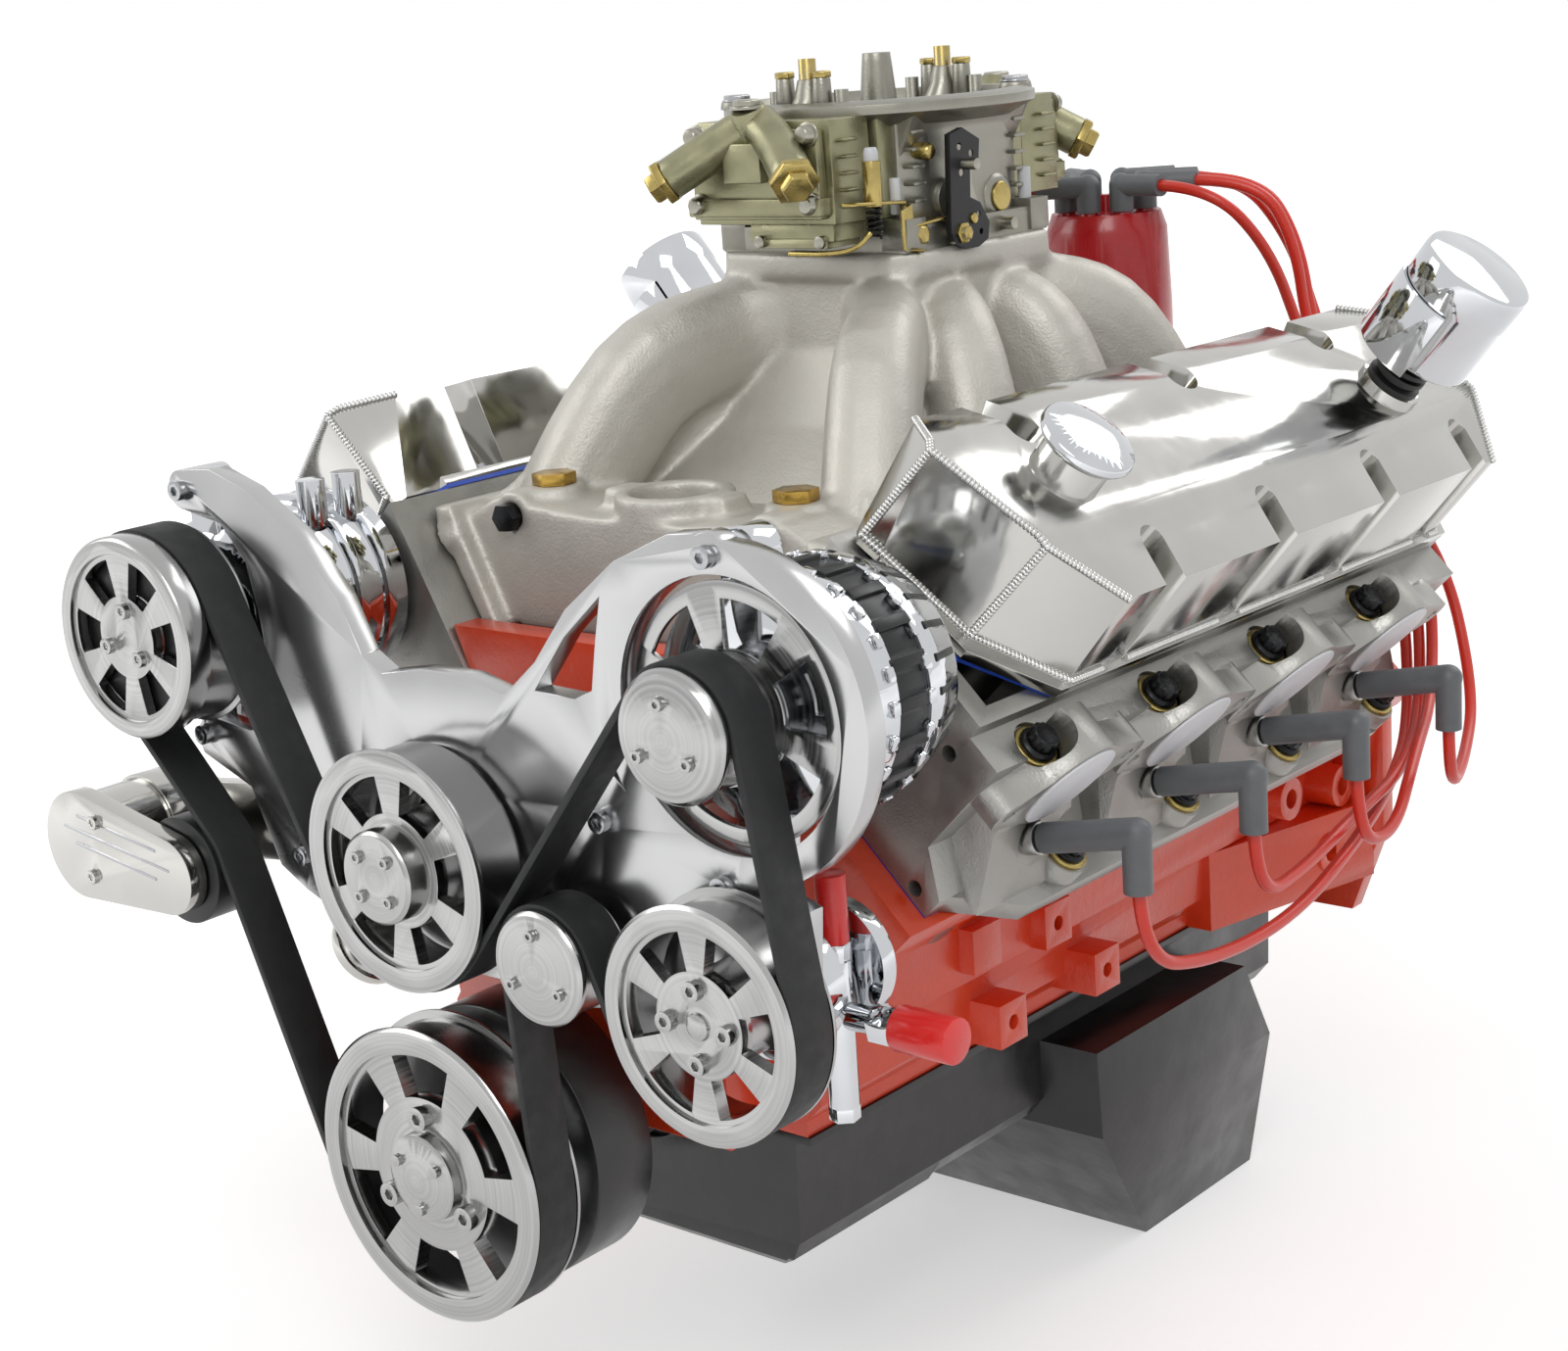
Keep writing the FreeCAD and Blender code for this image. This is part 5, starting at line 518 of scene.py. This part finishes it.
# Weld beads, set drop by drop along the seams of the fabricated covers
def bead_tree():
    tree = bpy.data.node_groups.new("weld_bead", "GeometryNodeTree")
    face = tree.interface
    face.new_socket("Seam", in_out="INPUT", socket_type="NodeSocketGeometry")
    for name in ("Pitch", "Width", "Length"):
        face.new_socket(name, in_out="INPUT", socket_type="NodeSocketFloat")
    face.new_socket("Metal", in_out="INPUT", socket_type="NodeSocketMaterial")
    face.new_socket("Bead", in_out="OUTPUT", socket_type="NodeSocketGeometry")
    given = put(tree, "NodeGroupInput")
    line = put(tree, "GeometryNodeResampleCurve", {"mode": "LENGTH"},
               {"Curve": (given, "Seam"), "Length": (given, "Pitch")})
    drop = put(tree, "GeometryNodeMeshUVSphere", inputs={"Segments": 8, "Rings": 5, "Radius": 0.5})
    ahead = put(tree, "GeometryNodeInputTangent")
    turn = put(tree, "FunctionNodeAlignRotationToVector", {"axis": "Z"}, {"Vector": (ahead, 0)})
    size = put(tree, "ShaderNodeCombineXYZ", inputs={0: (given, "Width"), 1: (given, "Width"),
                                                     2: (given, "Length")})
    row = put(tree, "GeometryNodeInstanceOnPoints", inputs={"Points": (line, 0), "Instance": (drop, 0),
                                                            "Rotation": (turn, 0), "Scale": (size, 0)})
    whole = put(tree, "GeometryNodeRealizeInstances", inputs={0: (row, 0)})
    metal = put(tree, "GeometryNodeSetMaterial", inputs={"Geometry": (whole, 0), "Material": (given, "Metal")})
    put(tree, "NodeGroupOutput", inputs={0: (metal, 0)})
    return tree


BEAD_TREE = bead_tree()


def weld(name, seams, body, pitch=2.6, width=5.2, length=3.6):
    curve = bpy.data.curves.new(name, "CURVE")
    curve.dimensions = "3D"
    for seam in seams:
        spline = curve.splines.new("POLY")
        spline.points.add(len(seam) - 1)
        for point, place in zip(spline.points, seam):
            point.co = (*(place * MM), 1)
    obj = bpy.data.objects.new(name, curve)
    bpy.context.scene.collection.objects.link(obj)
    rule = obj.modifiers.new("bead", "NODES")
    rule.node_group = BEAD_TREE
    values = {"Pitch": pitch * MM, "Width": width * MM, "Length": length * MM, "Metal": BEAD}
    for item in BEAD_TREE.interface.items_tree:
        if item.in_out == "INPUT" and item.name in values:
            rule[item.identifier] = values[item.name]
    return belongs(settle(obj, 60), body, "polished_alloy")


PLAN = [(-146, -530), (-116, -560), (-38, -540), (8, -494), (8, -62), (-48, -36), (-116, -36), (-146, -60)]


def top_of(v):
    """Height of the cover's skin over its base at v, on its three upper slopes."""
    section = [(-146, 62), (-122, 77), (-45, 84), (3, 74), (8, 0)]
    for (v0, h0), (v1, h1) in zip(section, section[1:]):
        if v0 <= v <= v1:
            return h0 + (h1 - h0) * (v - v0) / (v1 - v0)
    return 0.0


def cover_seams(side):
    def at(v, h, y):
        return bank(side, v, COVER_BASE + h, y)

    def over(a, b):
        line = []
        for k in range(25):
            v, y = a[0] + (b[0] - a[0]) * k / 24, a[1] + (b[1] - a[1]) * k / 24
            line.append(at(v, top_of(v), y))
        return line

    seams = [over(PLAN[0], PLAN[1]), over(PLAN[1], PLAN[2]), over(PLAN[2], (3, -499)),
             over((3, -64), PLAN[5]), over(PLAN[5], PLAN[6]), over(PLAN[6], PLAN[7])]
    for v, y in (PLAN[1], PLAN[2], PLAN[5], PLAN[6]):
        seams.append([at(v, 8, y), at(v, top_of(v), y)])
    foot = [(-38, -541), (9, -495), (9, -465)]
    seams.append([at(v, 7.5, y) for v, y in [(-116, -561)] + foot])
    for low, high in ((-437, -342), (-314, -216), (-188, -98), (-70, -62)):
        seams.append([at(8.5, 7.5, low), at(8.5, 7.5, high)])
    seams.append([at(v, 7.5, y) for v, y in [(8.5, -62), (-48, -35.5), (-116, -35.5)]])
    return seams


for side, name in ((1, "left"), (-1, "right")):
    weld("cover_welds_" + name, cover_seams(side), "engine")


# Breathers: a plated can with a shield, on a ringed rubber neck
def breather(side, name):
    seat = bank(side, -66, face_height(-66), -128) * MM
    axis = FACE_NORMAL[side]
    hint = Vector((0, 1, 0))
    shape = bmesh.new()
    lathe(shape, [(0, 34), (33, 34), (35.5, 36), (36, 38), (36, 78), (37, 80), (37, 100), (36, 102.5), (33, 104),
                  (0, 104)], seat, axis, 64, hint=hint)
    can = plain("breather_can_" + name, shape, [MATERIALS["chrome"]], 30)
    belongs(can, "engine", "chrome")
    shape = bmesh.new()
    lathe(shape, [(36.6, 30), (38.6, 30), (39, 31), (39, 76.5), (38.6, 77.5), (36.6, 77.5), (36.6, 30)], seat, axis,
          48, (100, 290), hint)
    bmesh.ops.recalc_face_normals(shape, faces=shape.faces)
    shield = plain("breather_shield_" + name, shape, [MATERIALS["chrome"]], 30)
    belongs(shield, "engine", "chrome")
    shape = bmesh.new()
    profile = [(0, -2), (18, -2), (18, 11), (14.5, 13)]
    for k in range(3):
        profile += [(14.5, 15 + 6 * k), (17.5, 16 + 6 * k), (17.5, 19 + 6 * k), (14.5, 20 + 6 * k)]
    profile += [(14.5, 36), (0, 36)]
    lathe(shape, profile, seat, axis, 40, hint=hint)
    neck = plain("breather_neck_" + name, shape, [MATERIALS["rotor_black"]], 30)
    belongs(neck, "engine", "chrome", "breathers")


for side, name in ((1, "left"), (-1, "right")):
    breather(side, name)


# Carburettor, rebuilt with the parts that bolt to it
CARB_Y, LIFT_FROM, LIFT, CARB_LIMIT = -293.0, 500.0, 1.19, 595.5


def brick(shape, x, y, z, draft=0.0, turn=None):
    """A block between two corners in mm; draft narrows its top."""
    low = [(x[0], y[0], z[0]), (x[1], y[0], z[0]), (x[1], y[1], z[0]), (x[0], y[1], z[0])]
    high = [(x[0] + draft, y[0] + draft, z[1]), (x[1] - draft, y[0] + draft, z[1]),
            (x[1] - draft, y[1] - draft, z[1]), (x[0] + draft, y[1] - draft, z[1])]
    corners = [shape.verts.new((turn @ Vector(p) if turn else Vector(p)) * MM) for p in low + high]
    for loop in ((3, 2, 1, 0), (4, 5, 6, 7), (0, 1, 5, 4), (1, 2, 6, 5), (2, 3, 7, 6), (3, 0, 4, 7)):
        shape.faces.new([corners[k] for k in loop])


def studs(shape, places, axis, profile, steps=20):
    for place in places:
        lathe(shape, profile, Vector(place) * MM, Vector(axis), steps)


def bevelled(name, shape, materials, edge, body, slot, *nodes, smooth=32):
    bmesh.ops.recalc_face_normals(shape, faces=shape.faces)
    obj = plain(name, shape, materials, smooth)
    bevel = obj.modifiers.new("broken edge", "BEVEL")
    bevel.width, bevel.segments, bevel.limit_method = edge * MM, 2, "ANGLE"
    bevel.angle_limit = math.radians(smooth)
    return belongs(settle(obj, smooth), body, slot, *nodes)


def hexagon(shape, centre, axis, across, height, base=0.0):
    """A hexagon head with its corners turned down."""
    r = across / 2 / math.cos(math.pi / 6)
    lathe(shape, [(0, base), (r, base), (r, base + height * 0.85), (r * 0.88, base + height), (0, base + height)],
          Vector(centre) * MM, Vector(axis), 6)


def outline_plate(name, loops, x0, x1, material, body, slot, edge=0.3):
    """A plate in the side plane cut from (y, z) outlines, the first outside and the rest holes."""
    curve = bpy.data.curves.new(name, "CURVE")
    curve.dimensions, curve.fill_mode = "2D", "BOTH"
    curve.extrude, curve.bevel_depth, curve.bevel_resolution = (x1 - x0) / 2 * MM - edge * MM, edge * MM, 1
    for loop in loops:
        spline = curve.splines.new("POLY")
        spline.points.add(len(loop) - 1)
        spline.use_cyclic_u = True
        for point, (y, z) in zip(spline.points, loop):
            point.co = (y * MM, z * MM, 0, 1)
    curve.materials.append(material)
    obj = bpy.data.objects.new(name, curve)
    bpy.context.scene.collection.objects.link(obj)
    obj = settle(obj, 0)
    obj.data.transform(Matrix(((0, 0, 1, (x0 + x1) / 2 * MM), (1, 0, 0, 0), (0, 1, 0, 0), (0, 0, 0, 1))))
    soften(obj.data, 40)
    return belongs(obj, body, slot)


def ring_of(y, z, r, steps=12):
    return [(y + r * math.cos(2 * math.pi * k / steps), z + r * math.sin(2 * math.pi * k / steps))
            for k in range(steps)]


def carburettor():
    shape = merged("carburetor_body")
    for v in shape.verts:
        z = v.co.z / MM
        if z > LIFT_FROM:
            v.co.z = min(LIFT_FROM + (z - LIFT_FROM) * LIFT, CARB_LIMIT) * MM
    bmesh.ops.dissolve_limit(shape, angle_limit=math.radians(0.4), verts=shape.verts, edges=shape.edges)
    obj = plain("carb_main_body", shape, [MATERIALS["zinc_body"], YELLOW_ZINC])
    bevel = obj.modifiers.new("broken edge", "BEVEL")
    bevel.width, bevel.segments, bevel.limit_method = 0.9 * MM, 2, "ANGLE"
    belongs(settle(obj), "engine", "zinc_body", "carburetor_body")
    painted(obj, 1, lambda x, y, z: abs(x) < 6 and z > 583 and abs(abs(y - CARB_Y) - 70) < 8)
    shape = bmesh.new()
    for side in (-1, 1):
        for k in range(5):
            for y in (-351, -243):
                z = 505 + 10.5 * k
                brick(shape, sorted((side * 60, side * 70)), (y, y + 12), (z, z + 2.4))
        brick(shape, sorted((side * 60, side * 67.5)), (-255, -252), (498, 552))
        for y in (-369, -237):
            brick(shape, sorted((side * 55, side * 76)), (y, y + 20), (477, 497))
    studs(shape, [(62, -262, 501)], (1, 0, 0), [(0, 0), (15, 0), (15, 6), (12, 8), (0, 8)], 28)
    studs(shape, [(60, -318, 505)], (1, 0, 0), [(0, 0), (13, 0), (12, 12), (0, 12)], 24)
    for y, x in ((-363, 0), (-223, 0)):
        sweep(shape, [(x, y, 562), (x, y, 572), (x, y, 583)], [(17, 12), (10, 9), (6.6, 6.6)], 16)
    for x, y in ((14, -367), (-14, -219), (16, -224), (-18, -364)):
        sweep(shape, [(x, y, 562), (x, y, 584)], [(6.5, 6.5), (5.6, 5.6)], 14)
    studs(shape, [(-64, -358, 566), (60, -226, 566)], (0, 0, 1), [(0, 0), (11, 0), (10, 5), (0, 5)], 20)
    bevelled("carb_body_ribs", shape, [MATERIALS["zinc_body"]], 0.7, "engine", "zinc_body")
    shape = bmesh.new()
    for x, y in ((14, -367), (-14, -219), (16, -224), (-18, -364)):
        hexagon(shape, (x, y, 584), (0, 0, 1), 11, 4)
    studs(shape, [(70, -340, 536)], (1, 0, -0.1), [(0, -6), (5.5, -6), (5.5, 4), (4.4, 6), (0, 6)], 16)
    studs(shape, [(70, -262, 501)], (1, 0, 0), [(0, 0), (9.6, 0), (9.6, 1.4), (8.8, 2), (0, 2)], 28)
    bevelled("carb_yellow_screws", shape, [YELLOW_ZINC], 0.3, "engine", "zinc_gold")
    shape = bmesh.new()
    for x, y in ((-64, -358), (60, -226)):
        hexagon(shape, (x, y, 571), (0, 0, 1), 15, 4)
        studs(shape, [(x, y, 571)], (0, 0, 1), [(0, 0), (9.5, 0), (9.5, 1.2), (0, 1.2)], 20)
    bevelled("carb_top_screws", shape, [MATERIALS["bolt_steel"]], 0.3, "engine", "bolt_steel")

    gold, yellow, bright = bmesh.new(), bmesh.new(), bmesh.new()
    for end in (-1, 1):
        turn = Matrix(((-end, 0, 0), (0, -end, 0), (0, 0, 1)))
        shift = Vector((0, CARB_Y, 0))

        def at(x, y, z):
            return turn @ Vector((x, y, z)) + shift

        def slab(shape, x, y, z, draft=0.0):
            low, high = at(x[0], y[0], z[0]), at(x[1], y[1], z[1])
            brick(shape, sorted((low.x, high.x)), sorted((low.y, high.y)), (z[0], z[1]), draft)

        slab(gold, (-57, 57), (-76, -60), (497, 562))
        slab(gold, (-55, 55), (-119, -79), (498, 561), 1.5)
        slab(gold, (-51, 51), (-128, -118), (502, 556), 1.5)
        slab(gold, (-53, 53), (-131, -117), (504, 515))
        slab(gold, (-16, 14), (-138, -120), (525, 549))
        for side in (-1, 1):
            for k in range(5):
                z = 507 + 10 * k
                slab(gold, (side * 50, side * 59) if side > 0 else (side * 59, side * 50), (-112, -97), (z, z + 2.2))
            path = [at(side * 2, -122, 560), at(side * 24, -132, 547), at(side * 50, -150, 529)]
            sweep(gold, curved(path, 5), [(13, 13)] * 11, 20)
            aim = (path[2] - path[1]).normalized()
            hexagon(yellow, path[2], aim, 27, 6)
            hexagon(yellow, path[2], aim, 18, 13)
            for z in (511, 553):
                studs(bright, [at(side * 45, -127, z)], turn @ Vector((0, -1, 0)),
                      [(0, 0), (7.5, 0), (7.5, 1.5), (6, 1.5), (5.6, 6.5), (4.5, 8), (0, 8)], 18)
        path = [at(0, -114, 541), at(0, -124, 556), at(0, -130, 570)]
        sweep(gold, path, [(15, 14), (13, 12), (11, 11)], 20)
        hexagon(bright, at(0, -130, 570), (0, 0, 1), 15, 5)
        studs(bright, [at(0, -130, 569)], (0, 0, 1), [(0, 0), (10.5, 0), (10.5, 2), (0, 2)], 20)
        slab(gold, (-14, 54), (-120, -84), (488, 499), 1.0)
        slab(gold, (-8, 50), (-122, -88), (484, 490), 1.0)
        for x in (-3, 45):
            studs(bright, [at(x, -121, 488)], turn @ Vector((0, -1, 0)), [(0, -4), (4, -4), (4, 3), (0, 3)], 12)
    bevelled("fuel_bowl_castings", gold, [MATERIALS["zinc_gold"]], 1.2, "engine", "zinc_gold", "fuel_bowls")
    bevelled("fuel_bowl_plugs", yellow, [YELLOW_ZINC], 0.4, "engine", "zinc_gold")
    bevelled("fuel_bowl_screws", bright, [MATERIALS["throttle_steel"]], 0.3, "engine", "bolt_steel")

    lever = [(-331, 545), (-318, 548), (-301, 540), (-303, 525), (-312, 524), (-313, 505), (-303, 501),
             (-294, 488), (-296, 478), (-306, 474), (-320, 474), (-330, 478), (-334, 486), (-333, 505)]
    holes = [ring_of(-322, 537, 2.6), ring_of(-310, 532, 2.6), ring_of(-321, 521, 2.6), ring_of(-305, 494, 2.2),
             ring_of(-303, 483, 2.2)]
    outline_plate("throttle_lever", [lever] + holes, 79.6, 83.9, LEVER_BLACK, "throttle_front", "bolt_black")
    shape = bmesh.new()
    studs(shape, [(83.5, -322, 484)], (1, 0, 0), [(0, 0), (7, 0), (7, 2), (4.5, 2.2), (4.5, 5), (0, 5)], 6)
    studs(shape, [(83.5, -311, 492)], (1, 0, 0), [(0, 0), (3.6, 0), (3.2, 2), (0, 2)], 14)
    bevelled("throttle_lever_screws", shape, [YELLOW_ZINC], 0.3, "throttle_front", "zinc_gold")
    shape = bmesh.new()
    sweep(shape, [(73, -420, 511), (73, -372, 508), (74, -366, 504), (74, -365, 480), (76, -358, 477)],
          [(6, 1.2)] * 5, 12, 6)
    sweep(shape, [(70, -360, 492), (72, -335, 494), (74, -330, 494)], [(6, 1.2)] * 3, 12, 6)
    sweep(shape, curved([(20, -412, 481), (48, -412, 481), (66, -408, 484), (74, -402, 493)], 4),
          [(5, 1.6)] * 13, 12, 5)
    studs(shape, [(74, -398, 508)], (0, 0, 1), [(0, 0), (5.6, 0), (5.6, 27), (0, 27)], 20)
    studs(shape, [(70, -352, 486)], (1, 0, 0), [(0, 0), (8, 0), (8, 5), (5, 7), (0, 7)], 6)
    bevelled("accelerator_levers", shape, [YELLOW_ZINC], 0.3, "engine", "zinc_gold")
    shape = bmesh.new()
    studs(shape, [(74, -398, 535)], (0, 0, 1), [(0, 0), (4.6, 0), (4.6, 5), (3.6, 8), (0, 8)], 16)
    studs(shape, [(66, -366, 500)], (0, 0, 1), [(0, 0), (3.4, 0), (3.4, 22), (0, 22)], 12)
    studs(shape, [(68, -232, 497)], (0, 0, 1), [(0, 0), (4.2, 0), (4.2, 20), (0, 20)], 12)
    bevelled("carb_stop_pins", shape, [NYLON], 0.3, "engine", "bolt_steel")
    coil = [(74 + 4.4 * math.cos(t / 8 * math.pi * 2), -398 + 4.4 * math.sin(t / 8 * math.pi * 2), 489 + t * 0.42)
            for t in range(44)]
    shape = bmesh.new()
    sweep(shape, coil, [(0.9, 0.9)] * len(coil), 6)
    bevelled("accelerator_spring", shape, [MATERIALS["bolt_black"]], 0.1, "engine", "bolt_black")


carburettor()


# Head bolts: twelve-point flanged heads on loose washers
UPPER_BOLT, LOWER_BOLT, BOLT_SIZE = (28.6, 100, -37), (68, 28, 21), 11


def head_bolts():
    heads, washers = bmesh.new(), bmesh.new()
    for side in (1, -1):
        axis = Vector((side * HALF, 0, HALF))
        for y in BORES[side]:
            for v, h, dy in (UPPER_BOLT, LOWER_BOLT):
                seat = bank(side, v, h, 0)
                seat.y = y + side * dy
                lathe(washers, [(0, 0), (14, 0), (14, 2.4), (13.4, 3), (0, 3)], seat * MM, axis, 28)
                lathe(heads, [(0, 3), (11.4, 3), (11.4, 5), (9.4, 6.6), (0, 6.6)], seat * MM, axis, 28)
                for turn in (0, 30):
                    lathe(heads, [(0, 6), (9.4, 6), (9.4, 12.6), (8.4, 14), (0, 14)], seat * MM, axis, 6,
                          (turn, turn + 360))
    bevelled("head_bolt_heads", heads, [MATERIALS["bolt_black"]], 0.3, "engine", "bolt_black", "head_bolts")
    bevelled("head_bolt_washers", washers, [YELLOW_ZINC], 0.3, "engine", "bolt_black")


head_bolts()


# Alternator: a scalloped edge on each side of the stator, and dark strips for the rear bell's cooling vents: no vent
# is cut, and the strips are painted shade standing for the dark stator and the shade seen through an open vent
ALTERNATOR, BELL_SLOPE = (218.9, 286.9), ((-633, 67.6), (-609, 59.2))


def alternator_details():
    lobes, slot_shade = bmesh.new(), bmesh.new()
    x0, z0 = ALTERNATOR
    for k in range(24):
        t = 2 * math.pi * k / 24
        out = Vector((math.cos(t), 0, math.sin(t)))
        for y in (-672.5, -642.5):
            sweep(lobes, [Vector((x0, y, z0)) + out * 66, Vector((x0, y, z0)) + out * 70],
                  [(4.6, 3.4), (4.0, 2.8)], 12, 4, Vector((0, 1, 0)))
        (ya, ra), (yb, rb) = BELL_SLOPE
        # painted shade: a black strip laid on the bell where an open vent would show the shade inside
        sweep(slot_shade, [Vector((x0, ya, z0)) + out * ra, Vector((x0, yb, z0)) + out * rb],
              [(2.3, 0.6), (2.0, 0.6)], 8, 3, out)
    bevelled("alternator_lobes", lobes, [MATERIALS["chrome"]], 0.4, "engine", "chrome")
    bevelled("alternator_slot_shade", slot_shade, [MATERIALS["stator_black"]], 0.1, "engine", "stator_black")


alternator_details()


# Small pieces of the drive and the leads
TENSIONER_FACE_Y, CLUTCH_AXIS, CLUTCH_PLATE_Y, BAND_DROP = -775, (-202.3, 296.4), -765.2, 9


def drive_details():
    shape = bmesh.new()
    for a, b in (((-276, 177), (-200, 166)), ((-290, 169), (-189, 155)), ((-280, 159), (-202, 148))):
        sweep(shape, [(a[0], TENSIONER_FACE_Y, a[1]), (b[0], TENSIONER_FACE_Y, b[1])], [(1.1, 0.5)] * 2, 8, 2,
              Vector((0, 1, 0)))
    bevelled("tensioner_cover_lines", shape, [MATERIALS["bolt_steel"]], 0.1, "tensioner", "bolt_steel")
    shape = bmesh.new()
    lathe(shape, [(24, 0), (49, 0), (49, 1.4), (24, 1.4), (24, 0)],
          Vector((CLUTCH_AXIS[0], CLUTCH_PLATE_Y, CLUTCH_AXIS[1])) * MM,
          Vector((0, 1, 0)), 48)
    bmesh.ops.remove_doubles(shape, verts=shape.verts, dist=0.001 * MM)
    bevelled("clutch_plate", shape, [MATERIALS["rotor_black"]], 0.2, "compressor", "bolt_black")
    shape = bmesh.new()
    for side in (1, -1):
        for i in range(4):
            foot = lead_line(side, i)[0] - Vector((0, 0, BAND_DROP))
            lathe(shape, [(4.0, 0), (5.0, 0.4), (5.0, 6.6), (4.0, 7), (4.0, 0)], foot * MM, Vector((0, 0, 1)), 24)
    bmesh.ops.remove_doubles(shape, verts=shape.verts, dist=0.001 * MM)
    bevelled("lead_bands", shape, [LEAD_BAND], 0.2, "engine", "lead_red")


drive_details()


# Studio
def studio():
    size, floor_z = FLOOR_HALF, CAD_BOX[0][2]
    mesh = bpy.data.meshes.new("floor")
    mesh.from_pydata([(-size, -size, floor_z), (size, -size, floor_z), (size, size, floor_z),
                      (-size, size, floor_z)], [], [(0, 1, 2, 3)])
    floor = bpy.data.objects.new("floor", mesh)
    bpy.context.scene.collection.objects.link(floor)
    material = bpy.data.materials.new("matt_white_paper")
    material.use_nodes = True
    tree = material.node_tree
    tree.nodes.clear()
    rays = put(tree, "ShaderNodeLightPath")
    seen = put(tree, "ShaderNodeMath", {"operation": "MAXIMUM"}, {0: (rays, "Is Camera Ray"),
                                                                  1: (rays, "Is Glossy Ray")})
    seen = put(tree, "ShaderNodeMath", {"operation": "MAXIMUM"}, {0: (seen, 0), 1: (rays, "Is Transmission Ray")})
    paper = put(tree, "ShaderNodeBsdfDiffuse", inputs={"Color": colour("E6E6E6")})
    # far from the lamps the paper's own light falls off, and its glow takes over
    where = put(tree, "ShaderNodeTexCoord")
    away = put(tree, "ShaderNodeVectorMath", {"operation": "LENGTH"}, {0: (where, "Object")})
    level = put(tree, "ShaderNodeMapRange", inputs={0: (away, "Value"), 1: GLOW_FROM, 2: GLOW_FULL, 3: FLOOR_GLOW,
                                                      4: 1.0})
    glow = put(tree, "ShaderNodeEmission", inputs={"Color": (1, 1, 1, 1), "Strength": (level, 0)})
    both = put(tree, "ShaderNodeAddShader", inputs={0: (paper, 0), 1: (glow, 0)})
    final = put(tree, "ShaderNodeMixShader", inputs={0: (seen, 0), 1: (paper, 0), 2: (both, 0)})
    put(tree, "ShaderNodeOutputMaterial", inputs={"Surface": (final, 0)})
    mesh.materials.append(material)
    world = bpy.data.worlds.new("studio")
    bpy.context.scene.world = world
    world.use_nodes = True
    tree = world.node_tree
    tree.nodes.clear()
    rays = put(tree, "ShaderNodeLightPath")
    seen = put(tree, "ShaderNodeMath", {"operation": "MAXIMUM"}, {0: (rays, "Is Camera Ray"),
                                                                  1: (rays, "Is Glossy Ray")})
    seen = put(tree, "ShaderNodeMath", {"operation": "MAXIMUM"}, {0: (seen, 0), 1: (rays, "Is Transmission Ray")})
    fill = put(tree, "ShaderNodeBackground", inputs={"Color": (1, 1, 1, 1), "Strength": WORLD_FILL})
    white = put(tree, "ShaderNodeBackground", inputs={"Color": (1, 1, 1, 1), "Strength": 1.0})
    final = put(tree, "ShaderNodeMixShader", inputs={0: (seen, 0), 1: (fill, 0), 2: (white, 0)})
    put(tree, "ShaderNodeOutputWorld", inputs={"Surface": (final, 0)})
    for name, place, power, width in LAMPS:
        lamp = bpy.data.lights.new(name, "AREA")
        lamp.energy, lamp.size = power, width
        obj = bpy.data.objects.new(name, lamp)
        bpy.context.scene.collection.objects.link(obj)
        obj.location = place
        aim = LAMP_AIM - Vector(place)
        obj.rotation_euler = aim.to_track_quat("-Z", "Y").to_euler()
    bpy.context.scene.view_settings.view_transform = "Standard"


FLOOR_GLOW, WORLD_FILL = 0.45, 0.45
FLOOR_HALF, GLOW_FROM, GLOW_FULL = 9.0, 0.9, 3.0
LAMP_AIM = Vector((0, -0.35, 0.2))
LAMPS = (("key", (1.6, -2.6, 2.6), 42, 1.6), ("side", (-2.4, -1.9, 1.8), 26, 1.6),
         ("back", (0.8, 1.9, 2.4), 22, 1.6))
studio()
